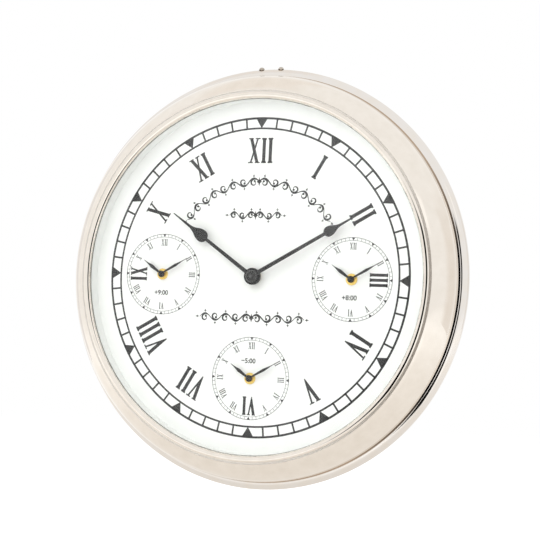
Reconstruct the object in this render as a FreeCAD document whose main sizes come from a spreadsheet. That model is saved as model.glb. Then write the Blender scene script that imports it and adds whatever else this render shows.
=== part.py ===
import FreeCAD, Part
import os
import re
import Sketcher

# World time wall clock, 457 mm across: a spun metal case, a convex bezel with flat glass, a white dial
# with one large and three small time displays, and four battery movements with two hands each.
# Frame: +X right and +Z up as seen from the front, the dial faces -Y. The origin is the hanging point:
# the centre of the hanger's keyhole, on the wall plane. A depth is a distance from the wall.

# Driving dimensions in millimetres, except for angles in degrees, counts and shares
SIZES = {
    # Case: side wall, rim, neck and bezel seat, spun from one sheet
    "case_radius": 228.3,
    "case_sheet": 1.2,
    "rim_depth": 8.5,
    "rim_corner": 2.4,
    "rim_width": 8.8,
    "neck_height": 4.5,
    "neck_flare": 1.5,
    "seat_height": 2.5,
    "seat_draft": 2.4,
    # Ledge: a turned-down ring soldered inside the case's front edge
    "ledge_height": 9.8,
    "ledge_sheet": 1.2,
    "ledge_flange": 3.6,
    "ledge_reveal": 10.0,
    # Bezel: convex face, small bead and lip
    "bezel_width": 29.5,
    "bezel_sheet": 1.2,
    "bezel_clearance": 0.1,
    "skirt_height": 3.0,
    "bead_width": 7.5,
    "bead_rise": 1.6,
    "ridge_inset_share": 0.3,
    "lip_height": 1.0,
    # Glass, its seal and the well wall
    "glass_thickness": 2.0,
    "glass_overlap": 9.5,
    "seal_thickness": 0.6,
    "seal_inset": 0.6,
    "seal_width": 6.5,
    "well_height": 14.4,
    "spacer_wall": 1.5,
    # Dial
    "dial_thickness": 1.2,
    "dial_inset": 3.8,
    "small_dial_pitch": 109.0,
    # Hanger: keyhole plate with a tapped tab and two dome-head screws
    "hang_inset": 28.3,
    "bracket_sheet": 1.5,
    "bracket_width": 36.0,
    "bracket_foot": 15.0,
    "keyhole_radius": 4.75,
    "keyhole_slot_width": 4.5,
    "keyhole_slot_rise": 12.0,
    "tab_depth": 6.0,
    "tab_clearance": 0.3,
    "tab_screw_space": 22.4,
    "tab_screw_depth": 3.6,
    "tab_screw_radius": 1.75,
    "tab_screw_head_radius": 3.3,
    "tab_screw_head_height": 2.8,
    "tab_screw_reach": 7.0,
    "screw_clearance": 0.1,
    # Movement housing
    "movement_size": 56.0,
    "movement_corner": 4.0,
    "housing_depth": 16.0,
    "cover_thickness": 1.5,
    "washer_thickness": 0.8,
    "washer_radius": 10.0,
    "clip_width": 9.0,
    "clip_thickness": 1.2,
    "clip_length": 9.0,
    "clip_height": 15.0,
    "clip_clearance": 0.2,
    "fit_clearance": 0.05,
    "running_clearance": 0.08,
    "end_play": 0.2,
    "wheel_clearance": 0.5,
    # Battery and its bay
    "battery_radius": 7.25,
    "battery_length": 49.5,
    "battery_nub_radius": 2.75,
    "battery_nub_height": 1.0,
    "battery_drop": 18.9,
    "battery_inset": 7.4,
    "battery_clearance": 0.3,
    "contact_thickness": 0.3,
    "contact_width": 9.0,
    "contact_bow": 2.0,
    # Bush and dial nut
    "bush_radius": 3.95,
    "main_bush_length": 7.0,
    "small_bush_length": 5.2,
    "dial_hole_clearance": 0.2,
    "dial_nut_radius": 6.1,
    "dial_nut_height": 2.2,
    "dial_nut_edge": 0.5,
    # Motion work: minute pinion to set wheel, set pinion to hour wheel
    "arbor_space": 12.0,
    "pinion_teeth": 8,
    "set_wheel_teeth": 24,
    "hour_wheel_teeth": 32,
    "addendum_share": 0.85,
    "dedendum_share": 1.2,
    "tooth_root_share": 0.62,
    "tooth_tip_share": 0.3,
    "hour_wheel_thickness": 1.8,
    "set_wheel_thickness": 1.8,
    "layer_gap": 1.0,
    "pivot_radius": 0.8,
    "pivot_length": 2.0,
    "set_arbor_radius": 1.5,
    "minute_arbor_radius": 1.55,
    "hour_pipe_radius": 2.55,
    "main_pipe_length": 13.8,
    "small_pipe_length": 9.1,
    "knob_radius": 6.1,
    "knob_height": 3.0,
    "knob_gap": 0.3,
    # Hands, in depth: the large ones pass over the small ones, so the main movement has the longer shafts
    "main_hand_thickness": 0.6,
    "small_hand_thickness": 0.5,
    "pipe_end_rise": 0.3,
    "hand_gap": 0.7,
    "main_minute_boss_height": 1.2,
    "small_minute_boss_height": 1.0,
    "arbor_tip_radius": 1.2,
    "arbor_tip_length": 1.0,
    "hand_nut_radius": 2.25,
    "hand_nut_height": 1.8,
    "hand_nut_crown": 0.7,
    "hour_angle": 305,
    "minute_angle": 60,
    # Large hands: thin stem, pear-shaped bulb, long needle
    "main_hour_length": 116.0,
    "main_hour_bulb_place": 73.5,
    "main_hour_bulb_width": 13.6,
    "main_hour_needle": 1.4,
    "main_minute_length": 135.0,
    "main_minute_bulb_place": 98.0,
    "main_minute_bulb_width": 11.0,
    "main_minute_needle": 1.25,
    "stem_foot": 2.2,
    "stem_head": 1.75,
    "needle_tip": 0.5,
    "bulb_back_share": 0.95,
    "bulb_front_share": 2.9,
    "bulb_turn_share": 0.45,
    "main_hour_boss_radius": 8.9,
    "main_hour_boss_height": 4.0,
    "main_minute_boss_radius": 7.0,
    # Small hands: slim leaf with a needle tip
    "small_hour_length": 26.0,
    "small_hour_leaf_width": 3.8,
    "small_minute_length": 35.5,
    "small_minute_leaf_width": 3.0,
    "leaf_foot_share": 0.42,
    "leaf_place_share": 0.56,
    "leaf_needle_share": 0.8,
    "leaf_neck_share": 0.3,
    "leaf_tip": 0.2,
    "small_hour_boss_radius": 3.6,
    "small_hour_boss_height": 1.2,
    "small_minute_boss_radius": 2.7,
}

# Profiles in shares: the way from the bezel's foot to its ridge (depth, radius) outside and inside,
# the bead's width and its rise above the lip, and a dome head's radius and height
FACE_SHARES = [(0.26, 0.045), (0.504, 0.179), (0.717, 0.392), (0.886, 0.671)]
INSIDE_SHARES = [(0.328, 0.102), (0.619, 0.316), (0.849, 0.623)]
BEAD_SHARES = [(0.643, 1.902), (0.247, 1.505)]
BEAD_INSIDE_SHARES = [(0.55, 1.0)]
DOME_SHARES = [(0.88, 0.45), (0.62, 0.84), (0.3, 1)]

# Depths from the wall, and radii, worked out from the sizes
BEZEL_RADIUS = "(case_radius - rim_width)"
OPENING = f"({BEZEL_RADIUS} - bezel_width)"
HANG = "(case_radius - hang_inset)"
BEZEL_FOOT = "(rim_depth + neck_height)"
LEDGE = f"({BEZEL_FOOT} + ledge_height)"
DIAL = f"({LEDGE} + dial_thickness)"
GLASS_BACK = f"({DIAL} + well_height)"
GLASS_FRONT = f"({GLASS_BACK} + glass_thickness)"
LIP_EDGE = f"({GLASS_FRONT} + seal_thickness)"
LIP_TOP = f"({LIP_EDGE} + lip_height)"
RIDGE = f"({LIP_TOP} + bead_rise)"
RIDGE_RADIUS = f"({OPENING} + bead_width)"
SEAT_RADIUS = f"({BEZEL_RADIUS} - bezel_sheet - bezel_clearance)"
FRONT_RADIUS = f"({SEAT_RADIUS} - seat_draft)"
SEAT_TOP = f"({BEZEL_FOOT} + seat_height)"
CASE_TOP = "(case_radius - case_sheet)"

COVER_FRONT = f"({LEDGE} - washer_thickness)"
COVER_BACK = f"({COVER_FRONT} - cover_thickness)"
HOUSING_BACK = f"({COVER_BACK} - housing_depth)"
BUSH_BORE = "(hour_pipe_radius + running_clearance)"
HOUR_WHEEL_FRONT = f"({COVER_BACK} - wheel_clearance)"
HOUR_WHEEL_BACK = f"({HOUR_WHEEL_FRONT} - hour_wheel_thickness)"
SET_WHEEL_FRONT = f"({HOUR_WHEEL_BACK} - layer_gap)"
SET_WHEEL_BACK = f"({SET_WHEEL_FRONT} - set_wheel_thickness)"
BATTERY_DEPTH = f"({HOUSING_BACK} + battery_inset)"
BAY_RADIUS = "(battery_radius + battery_clearance)"
BAY_LENGTH = "(battery_length + battery_nub_height + 2 * contact_thickness + contact_bow)"

# Depths of the parts on the shafts, for the main movement and for the small ones
BUSH_END = {}
PIPE_END = {}
HOUR_HAND_FRONT = {}
MINUTE_BOSS_BACK = {}
MINUTE_HAND_FRONT = {}
ARBOR_END = {}
for kind in ("main", "small"):
    BUSH_END[kind] = f"({COVER_FRONT} + {kind}_bush_length)"
    PIPE_END[kind] = f"({HOUR_WHEEL_FRONT} + {kind}_pipe_length)"
    HOUR_HAND_FRONT[kind] = f"({PIPE_END[kind]} - pipe_end_rise)"
    MINUTE_BOSS_BACK[kind] = f"({HOUR_HAND_FRONT[kind]} + hand_gap)"
    MINUTE_HAND_FRONT[kind] = f"({MINUTE_BOSS_BACK[kind]} + {kind}_minute_boss_height)"
    ARBOR_END[kind] = f"({MINUTE_HAND_FRONT[kind]} + arbor_tip_length)"

# Both gear pairs have the same space between arbors, so each pair's module follows from its teeth
SET_MODULE = "(2 * arbor_space / (pinion_teeth + set_wheel_teeth))"
HOUR_MODULE = "(2 * arbor_space / (pinion_teeth + hour_wheel_teeth))"

# The four movements: name, place of the arbor from the axis of the large dial, and kind of shafts
PLACES = {
    "main": ("0", "0"),
    "left": ("-small_dial_pitch", "0"),
    "right": ("small_dial_pitch", "0"),
    "lower": ("0", "-small_dial_pitch"),
}
KINDS = {"main": "main", "left": "small", "right": "small", "lower": "small"}

doc = FreeCAD.newDocument("WorldTimeClock")
sheet = doc.addObject("Spreadsheet::Sheet", "Sizes")
for row, (alias, value) in enumerate(SIZES.items(), start=1):
    sheet.set(f"A{row}", alias)
    sheet.set(f"B{row}", str(value))
    sheet.setAlias(f"B{row}", alias)
doc.recompute()

bodies = []


def bound(formula):
    """Write the sheet's name before each size in a formula."""
    return re.sub(r"[a-z][a-z_]*", lambda word: name_in_sheet(word.group()), formula)


def name_in_sheet(word):
    return f"Sizes.{word}" if word in SIZES else word


def number(formula):
    """The present value of a formula."""
    return float(sheet.evalExpression(bound(formula)))


def new_body(name, place=("0", "0"), angle=None):
    """Start a piece whose own axis lies at a place measured from the large dial's axis."""
    body = doc.addObject("PartDesign::Body", name)
    body.Label = name
    body.AllowCompound = True
    body.setExpression(".Placement.Base.x", bound(place[0]))
    body.setExpression(".Placement.Base.z", bound(f"{place[1]} - {HANG}"))
    if angle:
        turn = FreeCAD.Rotation(FreeCAD.Vector(0, 1, 0), 1)
        body.Placement = FreeCAD.Placement(FreeCAD.Vector(), turn)
        body.setExpression(".Placement.Rotation.Angle", bound(f"{angle} * 1 deg"))
    bodies.append(body)
    return body


def origin_part(body, role):
    return next(feature for feature in body.Origin.OriginFeatures if feature.Role == role)


def new_sketch(body, role, shift=("0", "0", "0"), angle=None):
    """Attach a sketch to an origin plane, shifted along its own axes and turned about its normal."""
    sketch = body.newObject("Sketcher::SketchObject", f"{body.Name}_sketch")
    sketch.AttachmentSupport = [(origin_part(body, role), "")]
    sketch.MapMode = "FlatFace"
    if angle:
        turn = FreeCAD.Rotation(FreeCAD.Vector(0, 0, 1), 1)
        sketch.AttachmentOffset = FreeCAD.Placement(FreeCAD.Vector(), turn)
        sketch.setExpression(".AttachmentOffset.Rotation.Angle", bound(f"{angle} * 1 deg"))
    for axis, distance in zip("xyz", shift):
        sketch.setExpression(f".AttachmentOffset.Base.{axis}", bound(distance))
    return sketch


def front_sketch(body, depth, angle=None):
    """A sketch parallel to the dial at a depth from the wall, seen from the front."""
    return new_sketch(body, "XZ_Plane", ("0", "0", depth), angle)


def fix_point(sketch, shape, end, x, y):
    """Tie a point's two coordinates to formulas."""
    for kind, formula in (("DistanceX", x), ("DistanceY", y)):
        index = sketch.addConstraint(Sketcher.Constraint(kind, -1, 1, shape, end, number(formula)))
        sketch.setExpression(f"Constraints[{index}]", bound(formula))


def outline(sketch, corners):
    """Close an outline through corners, each an (x, y) pair of formulas.

    A corner may add a radius formula and a side, which round the line that leaves it: the centre
    lies on the left of the way along it for 1, and on the right for -1.
    """
    first = sketch.GeometryCount
    points = [FreeCAD.Vector(number(corner[0]), number(corner[1]), 0) for corner in corners]
    ends = []
    for index, corner in enumerate(corners):
        start = points[index]
        stop = points[(index + 1) % len(points)]
        if len(corner) == 2:
            sketch.addGeometry(Part.LineSegment(start, stop))
            ends.append((1, 2))
        else:
            sketch.addGeometry(arc_between(start, stop, number(corner[2]), corner[3]))
            ends.append((1, 2) if corner[3] > 0 else (2, 1))
    for index, corner in enumerate(corners):
        shape = first + index
        before = first + (index - 1) % len(corners)
        end = ends[index][0]
        sketch.addConstraint(Sketcher.Constraint("Coincident", before, ends[index - 1][1], shape, end))
        fix_point(sketch, shape, end, corner[0], corner[1])
        if len(corner) > 2:
            radius = sketch.addConstraint(Sketcher.Constraint("Radius", shape, number(corner[2])))
            sketch.setExpression(f"Constraints[{radius}]", bound(corner[2]))


def arc_between(start, stop, radius, side):
    """The shorter arc from start to stop, with its centre on the given side."""
    chord = stop - start
    normal = FreeCAD.Vector(-chord.y, chord.x, 0).normalize() * side
    middle = (start + stop) / 2
    centre = middle + normal * (radius ** 2 - (chord.Length / 2) ** 2) ** 0.5
    peak = centre + (middle - centre).normalize() * radius
    return Part.ArcOfCircle(start, peak, stop) if side > 0 else Part.ArcOfCircle(stop, peak, start)


def circle(sketch, x, y, radius):
    """A circle with its centre and radius tied to formulas."""
    centre = FreeCAD.Vector(number(x), number(y), 0)
    shape = sketch.addGeometry(Part.Circle(centre, FreeCAD.Vector(0, 0, 1), number(radius)))
    fix_point(sketch, shape, 3, x, y)
    index = sketch.addConstraint(Sketcher.Constraint("Radius", shape, number(radius)))
    sketch.setExpression(f"Constraints[{index}]", bound(radius))


def feature(body, kind, sketch, **settings):
    """Add a sketch-based feature to a body and make it the tip."""
    made = body.newObject(f"PartDesign::{kind}", f"{body.Name}_{kind.lower()}")
    made.Profile = sketch
    for name, value in settings.items():
        setattr(made, name, value)
    sketch.Visibility = False
    body.Tip = made
    return made


def pad(body, sketch, length, backward=False):
    """Raise a sketch towards the front, or backward."""
    made = feature(body, "Pad", sketch, Reversed=backward)
    made.setExpression("Length", bound(length))
    return made


def pocket(body, sketch, length, forward=False):
    """Cut a sketch backward into the body, or forward."""
    made = feature(body, "Pocket", sketch, Reversed=forward)
    made.setExpression("Length", bound(length))
    return made


def turned(body, corners, shift=("0", "0", "0")):
    """Revolve an outline of (depth, radius) corners about the axis that points out of the dial."""
    sketch = new_sketch(body, "YZ_Plane", shift)
    outline(sketch, [mirrored(*corner) for corner in corners])
    return feature(body, "Revolution", sketch, ReferenceAxis=(sketch, ["H_Axis"]), Angle=360)


def mirrored(depth, height, radius=None, side=None):
    """Depths run against the sketch's first axis, which also swaps the sides of arcs."""
    return (f"-({depth})", height, radius, -side) if radius else (f"-({depth})", height)


def ring(inner, outer, back, front):
    """Corners of a plain ring for turned()."""
    return [(back, inner), (back, outer), (front, outer), (front, inner)]


def around(body, made, count):
    """Repeat a feature round the axis that points out of the dial."""
    pattern = body.newObject("PartDesign::PolarPattern", f"{body.Name}_pattern")
    pattern.Originals = [made]
    pattern.Axis = (origin_part(body, "Y_Axis"), [""])
    pattern.Angle = 360
    pattern.setExpression("Occurrences", bound(count))
    body.Tip = pattern
    return pattern


def gear_teeth(body, count, module, back, front, angle=None):
    """Raise one sector of a gear, a straight-sided tooth with the gap after it, and repeat it round the axis."""
    root = root_radius(count, module)
    tip = tip_radius(count, module)
    foot = f"(tooth_root_share * {module})"
    foot_height = f"sqrt({root} ^ 2 - {foot} ^ 2)"
    turn = f"360 / {count}"
    sketch = front_sketch(body, back, angle)
    outline(sketch, [
        ("0", "0"),
        (f"-{foot}", foot_height),
        (f"-tooth_tip_share * {module}", tip),
        (f"tooth_tip_share * {module}", tip),
        (foot, foot_height),
        (f"{foot_height} * sin({turn}) - {foot} * cos({turn})",
         f"{foot_height} * cos({turn}) + {foot} * sin({turn})"),
    ])
    around(body, pad(body, sketch, f"{front} - {back}"), count)


def root_radius(count, module):
    return f"({count} * {module} / 2 - dedendum_share * {module})"


def tip_radius(count, module):
    return f"({count} * {module} / 2 + addendum_share * {module})"


# Case: one spun sheet. Side wall at the wall plane, bevelled rim, conical neck, the seat for the bezel
# and a slightly drawn-in front wall
def case_shell():
    body = new_body("case_shell")
    wall = "case_sheet"
    turned(body, [
        ("0", "case_radius"),
        ("rim_depth - rim_corner", "case_radius"),
        ("rim_depth", "case_radius - rim_corner"),
        ("rim_depth", f"{BEZEL_RADIUS} + neck_flare"),
        (BEZEL_FOOT, BEZEL_RADIUS),
        (BEZEL_FOOT, SEAT_RADIUS),
        (SEAT_TOP, SEAT_RADIUS),
        (LEDGE, FRONT_RADIUS),
        (LEDGE, f"{FRONT_RADIUS} - {wall}"),
        (f"{BEZEL_FOOT} - {wall}", f"{SEAT_RADIUS} - {wall}"),
        (f"rim_depth - {wall}", f"{BEZEL_RADIUS} + neck_flare - {wall}"),
        (f"rim_depth - {wall}", "case_radius - rim_corner"),
        ("rim_depth - rim_corner", CASE_TOP),
        ("0", CASE_TOP),
    ])
    holes = new_sketch(body, "XY_Plane", ("0", "0", "case_radius"))
    for side in ("-", ""):
        circle(holes, f"{side}tab_screw_space / 2", "-tab_screw_depth", "tab_screw_radius + screw_clearance")
    pocket(body, holes, "2 * case_sheet")


def dial_ledge():
    """Flat ring that carries the dial, with an outer flange turned back against the case's wall."""
    body = new_body("dial_ledge")
    inner = f"{OPENING} - ledge_reveal"
    outer = f"{FRONT_RADIUS} - case_sheet - fit_clearance"
    turned(body, [
        (LEDGE, inner),
        (LEDGE, outer),
        (f"{LEDGE} - ledge_flange", outer),
        (f"{LEDGE} - ledge_flange", f"{outer} - ledge_sheet"),
        (f"{LEDGE} - ledge_sheet", f"{outer} - ledge_sheet"),
        (f"{LEDGE} - ledge_sheet", inner),
    ])


# Bezel: convex face from the foot up to a fine ridge, then a rounded bead down to the glass
def bezel_ring():
    body = new_body("bezel_ring")
    inside_foot = f"({BEZEL_FOOT} + skirt_height)"
    inside_radius = f"({BEZEL_RADIUS} - bezel_sheet)"
    inside_ridge = f"({RIDGE} - bezel_sheet)"
    inside_ridge_radius = f"({RIDGE_RADIUS} - ridge_inset_share * bezel_sheet)"
    face = [(f"{BEZEL_FOOT} + {depth} * ({RIDGE} - {BEZEL_FOOT})",
             f"{BEZEL_RADIUS} - {radius} * ({BEZEL_RADIUS} - {RIDGE_RADIUS})") for depth, radius in FACE_SHARES]
    bead = [(f"{LIP_TOP} + {rise} * bead_rise", f"{OPENING} + {width} * bead_width")
            for width, rise in BEAD_SHARES]
    bead_inside = [(f"{LIP_TOP} + {rise} * bead_rise", f"{OPENING} + {width} * bead_width")
                   for width, rise in BEAD_INSIDE_SHARES]
    inside = [(f"{inside_foot} + {depth} * ({inside_ridge} - {inside_foot})",
               f"{inside_radius} - {radius} * ({inside_radius} - {inside_ridge_radius})")
              for depth, radius in reversed(INSIDE_SHARES)]
    turned(body, [
        (BEZEL_FOOT, BEZEL_RADIUS),
        *face,
        (RIDGE, RIDGE_RADIUS),
        *bead,
        (LIP_TOP, OPENING),
        (LIP_EDGE, OPENING),
        (LIP_EDGE, f"{OPENING} + bezel_sheet"),
        *bead_inside,
        (inside_ridge, inside_ridge_radius),
        *inside,
        (inside_foot, inside_radius),
        (BEZEL_FOOT, inside_radius),
    ])


def glass_parts():
    """Seal, flat glass, and the hoop that holds the glass off the dial."""
    seal = new_body("glass_seal")
    seal_inner = f"{OPENING} + seal_inset"
    turned(seal, ring(seal_inner, f"{seal_inner} + seal_width", GLASS_FRONT, LIP_EDGE))
    glass = new_body("glass_pane")
    turned(glass, ring("0", f"{OPENING} + glass_overlap", GLASS_BACK, GLASS_FRONT))
    spacer = new_body("spacer_ring")
    turned(spacer, ring(OPENING, f"{OPENING} + spacer_wall", DIAL, GLASS_BACK))


def dial_plate():
    """Flat dial with a hole for each movement's bush."""
    body = new_body("dial_plate")
    face = front_sketch(body, LEDGE)
    circle(face, "0", "0", f"{FRONT_RADIUS} - dial_inset")
    for x, z in PLACES.values():
        circle(face, x, z, "bush_radius + dial_hole_clearance")
    pad(body, face, "dial_thickness")


# Hanger: a bent plate flush with the wall plane, its tab tapped for the two screws from above
def hanger():
    bracket = new_body("hanger_bracket")
    half = "bracket_width / 2"
    tab_top = f"(sqrt({CASE_TOP} ^ 2 - ({half}) ^ 2) - tab_clearance)"
    foot = f"{HANG} - bracket_foot"
    slot = "keyhole_slot_width / 2"
    slot_foot = f"{HANG} + sqrt(keyhole_radius ^ 2 - ({slot}) ^ 2)"
    slot_head = f"{HANG} + keyhole_slot_rise"
    plate = front_sketch(bracket, "0")
    outline(plate, [
        (f"-{half}", foot),
        (half, foot),
        (half, tab_top),
        (f"-{half}", tab_top),
    ])
    pad(bracket, plate, "bracket_sheet")
    keyhole = front_sketch(bracket, "bracket_sheet")
    outline(keyhole, [
        ("0", f"{HANG} - keyhole_radius", "keyhole_radius", 1),
        ("keyhole_radius", HANG, "keyhole_radius", 1),
        (slot, slot_foot),
        (slot, slot_head, slot, 1),
        ("0", f"{slot_head} + {slot}", slot, 1),
        (f"-{slot}", slot_head),
        (f"-{slot}", slot_foot, "keyhole_radius", 1),
        ("-keyhole_radius", HANG, "keyhole_radius", 1),
    ])
    pocket(bracket, keyhole, "bracket_sheet")
    tab = front_sketch(bracket, "0")
    outline(tab, [
        (f"-{half}", f"{tab_top} - bracket_sheet"),
        (half, f"{tab_top} - bracket_sheet"),
        (half, tab_top),
        (f"-{half}", tab_top),
    ])
    pad(bracket, tab, "tab_depth")
    taps = new_sketch(bracket, "XY_Plane", ("0", "0", tab_top))
    for side in ("-", ""):
        circle(taps, f"{side}tab_screw_space / 2", "-tab_screw_depth", "tab_screw_radius + fit_clearance")
    pocket(bracket, taps, "bracket_sheet")

    screws = new_body("hanger_screws")
    seat = "(sqrt(case_radius ^ 2 - (tab_screw_space / 2 - tab_screw_head_radius) ^ 2))"
    sketch = new_sketch(screws, "XZ_Plane", ("tab_screw_space / 2", "0", "tab_screw_depth"))
    outline(sketch, [
        ("0", f"{seat} - tab_screw_reach"),
        ("tab_screw_radius", f"{seat} - tab_screw_reach"),
        ("tab_screw_radius", seat),
        ("tab_screw_head_radius", seat),
        *[(f"{width} * tab_screw_head_radius", f"{seat} + {rise} * tab_screw_head_height")
          for width, rise in DOME_SHARES],
        ("0", f"{seat} + tab_screw_head_height"),
    ])
    screw = feature(screws, "Revolution", sketch, ReferenceAxis=(sketch, ["V_Axis"]), Angle=360)
    mirror = screws.newObject("PartDesign::Mirrored", "hanger_screws_mirror")
    mirror.Originals = [screw]
    mirror.MirrorPlane = (origin_part(screws, "YZ_Plane"), [""])
    screws.Tip = mirror


def rubber_washers():
    """One soft washer behind the dial for each movement."""
    body = new_body("rubber_washers")
    face = front_sketch(body, COVER_FRONT)
    for x, z in PLACES.values():
        circle(face, x, z, "washer_radius")
        circle(face, x, z, "bush_radius + dial_hole_clearance")
    pad(body, face, "washer_thickness")


def bevelled_square(sketch, half, corner):
    """A square with bevelled corners, centred on the sketch's origin."""
    flat = f"({half} - {corner})"
    outline(sketch, [
        (f"-{flat}", f"-{half}"),
        (flat, f"-{half}"),
        (half, f"-{flat}"),
        (half, flat),
        (flat, half),
        (f"-{flat}", half),
        (f"-{half}", flat),
        (f"-{half}", f"-{flat}"),
    ])


# Movement housing: a moulded block, open at the front for the motion work and at the back for the
# battery. What nothing shows, the coil, rotor and reduction wheels, stays inside the solid
def movement_case(name, place):
    body = new_body(f"{name}_movement_case", place)
    block = front_sketch(body, HOUSING_BACK)
    bevelled_square(block, "movement_size / 2", "movement_corner")
    pad(body, block, "housing_depth")

    hour_tip = tip_radius("hour_wheel_teeth", HOUR_MODULE)
    set_tip = tip_radius("set_wheel_teeth", SET_MODULE)
    room = f"({hour_tip} + wheel_clearance)"
    floor = f"({COVER_BACK} - {SET_WHEEL_BACK} + 2 * end_play)"
    works = front_sketch(body, COVER_BACK)
    outline(works, [
        (f"-{room}", f"-{room}"),
        (room, f"-{room}"),
        (room, f"arbor_space + {set_tip} + wheel_clearance"),
        (f"-{room}", f"arbor_space + {set_tip} + wheel_clearance"),
    ])
    pocket(body, works, floor)
    for height, radius, depth in (
        ("0", "pivot_radius + running_clearance", f"{floor} + end_play + pivot_length"),
        ("arbor_space", "set_arbor_radius + running_clearance", "housing_depth"),
    ):
        face = front_sketch(body, COVER_BACK)
        circle(face, "0", height, radius)
        pocket(body, face, depth)

    bay = new_sketch(body, "YZ_Plane", ("0", "0", f"-{BAY_LENGTH} / 2"))
    bay_top = f"{BAY_RADIUS} - battery_drop"
    bay_foot = f"-{BAY_RADIUS} - battery_drop"
    outline(bay, [
        (f"-{HOUSING_BACK}", bay_foot),
        (f"-{HOUSING_BACK}", bay_top),
        (f"-{BATTERY_DEPTH}", bay_top, BAY_RADIUS, 1),
        (f"-{BATTERY_DEPTH} - {BAY_RADIUS}", "-battery_drop", BAY_RADIUS, 1),
        (f"-{BATTERY_DEPTH}", bay_foot),
    ])
    pocket(body, bay, BAY_LENGTH, forward=True)


def movement_front(name, place):
    """Cover of the housing, with a hole for the bush and two clips over the block's sides."""
    body = new_body(f"{name}_movement_front", place)
    plate = front_sketch(body, COVER_BACK)
    bevelled_square(plate, "movement_size / 2", "movement_corner")
    circle(plate, "0", "0", "bush_radius + fit_clearance")
    pad(body, plate, "cover_thickness")
    inner = "(movement_size / 2 + clip_clearance)"
    outer = f"({inner} + clip_thickness)"
    for root, length in (
        ("(movement_size / 2 - clip_thickness)", "cover_thickness"),
        (inner, "cover_thickness + clip_length"),
    ):
        clips = front_sketch(body, COVER_FRONT)
        for side in ("", "-"):
            outline(clips, [
                (f"{side}{root}", "clip_height - clip_width / 2"),
                (f"{side}{outer}", "clip_height - clip_width / 2"),
                (f"{side}{outer}", "clip_height + clip_width / 2"),
                (f"{side}{root}", "clip_height + clip_width / 2"),
            ])
        pad(body, clips, length, backward=True)


def bushes_and_nuts():
    """Threaded bushes through the dial, and the round nuts that pull the movements against it."""
    bushes = new_body("threaded_bushes")
    nuts = new_body("dial_nuts")
    nut_front = f"({DIAL} + dial_nut_height)"
    for name, (x, z) in PLACES.items():
        bush_end = BUSH_END[KINDS[name]]
        turned(bushes, ring(BUSH_BORE, "bush_radius", f"{COVER_BACK} + end_play", bush_end), ("0", z, x))
        turned(nuts, [
            (DIAL, "bush_radius + fit_clearance"),
            (DIAL, "dial_nut_radius"),
            (f"{nut_front} - dial_nut_edge", "dial_nut_radius"),
            (nut_front, "dial_nut_radius - dial_nut_edge"),
            (nut_front, "bush_radius + fit_clearance"),
        ], ("0", z, x))


def battery_parts(name, place):
    """Round cell with its nub to the right, a flat contact there and a bent leaf at the left."""
    right_wall = f"({BAY_LENGTH} / 2)"
    nub_end = f"({right_wall} - contact_thickness)"
    shoulder = f"({nub_end} - battery_nub_height)"
    left_end = f"({shoulder} - battery_length)"
    battery = new_body(f"{name}_battery", place)
    sketch = new_sketch(battery, "XZ_Plane", ("0", "-battery_drop", BATTERY_DEPTH))
    outline(sketch, [
        (left_end, "0"),
        (left_end, "battery_radius"),
        (shoulder, "battery_radius"),
        (shoulder, "battery_nub_radius"),
        (nub_end, "battery_nub_radius"),
        (nub_end, "0"),
    ])
    feature(battery, "Revolution", sketch, ReferenceAxis=(sketch, ["H_Axis"]), Angle=360)

    contacts = new_body(f"{name}_battery_contacts", place)
    leaves = new_sketch(contacts, "XY_Plane", ("0", "0", "-battery_drop - contact_width / 2"))
    back = f"-({BATTERY_DEPTH} - contact_width / 2)"
    front = f"-({BATTERY_DEPTH} + contact_width / 2)"
    outline(leaves, [
        (nub_end, back),
        (nub_end, front),
        (right_wall, front),
        (right_wall, back),
    ])
    wall = f"-{right_wall}"
    crest = f"{wall} + contact_bow - end_play"
    middle = f"-{BATTERY_DEPTH}"
    outline(leaves, [
        (wall, front),
        (crest, middle),
        (wall, back),
        (f"{wall} + contact_thickness", back),
        (f"{crest} + contact_thickness", middle),
        (f"{wall} + contact_thickness", front),
    ])
    pad(contacts, leaves, "contact_width")


# Motion work: the minute arbor's pinion drives the set wheel, whose pinion drives the hour wheel
def minute_arbor(name, place, kind):
    body = new_body(f"{name}_minute_arbor", place)
    pinion_back = f"({SET_WHEEL_BACK} - end_play)"
    pinion_front = f"({SET_WHEEL_FRONT} + end_play)"
    gear_teeth(body, "pinion_teeth", SET_MODULE, pinion_back, pinion_front)
    for radius, back, front in (
        ("pivot_radius", f"({pinion_back} - pivot_length)", pinion_front),
        ("minute_arbor_radius", pinion_back, MINUTE_BOSS_BACK[kind]),
        ("arbor_tip_radius", pinion_back, ARBOR_END[kind]),
    ):
        length = front_sketch(body, back)
        circle(length, "0", "0", radius)
        pad(body, length, f"{front} - {back}")


def hour_wheel(name, place, kind):
    body = new_body(f"{name}_hour_wheel", place)
    half_tooth = "180 / hour_wheel_teeth"
    gear_teeth(body, "hour_wheel_teeth", HOUR_MODULE, HOUR_WHEEL_BACK, HOUR_WHEEL_FRONT, half_tooth)
    pipe = front_sketch(body, HOUR_WHEEL_BACK)
    circle(pipe, "0", "0", "hour_pipe_radius")
    pad(body, pipe, f"{PIPE_END[kind]} - {HOUR_WHEEL_BACK}")
    bore = front_sketch(body, PIPE_END[kind])
    circle(bore, "0", "0", "minute_arbor_radius + running_clearance")
    pocket(body, bore, f"{PIPE_END[kind]} - {HOUR_WHEEL_BACK}")


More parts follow.
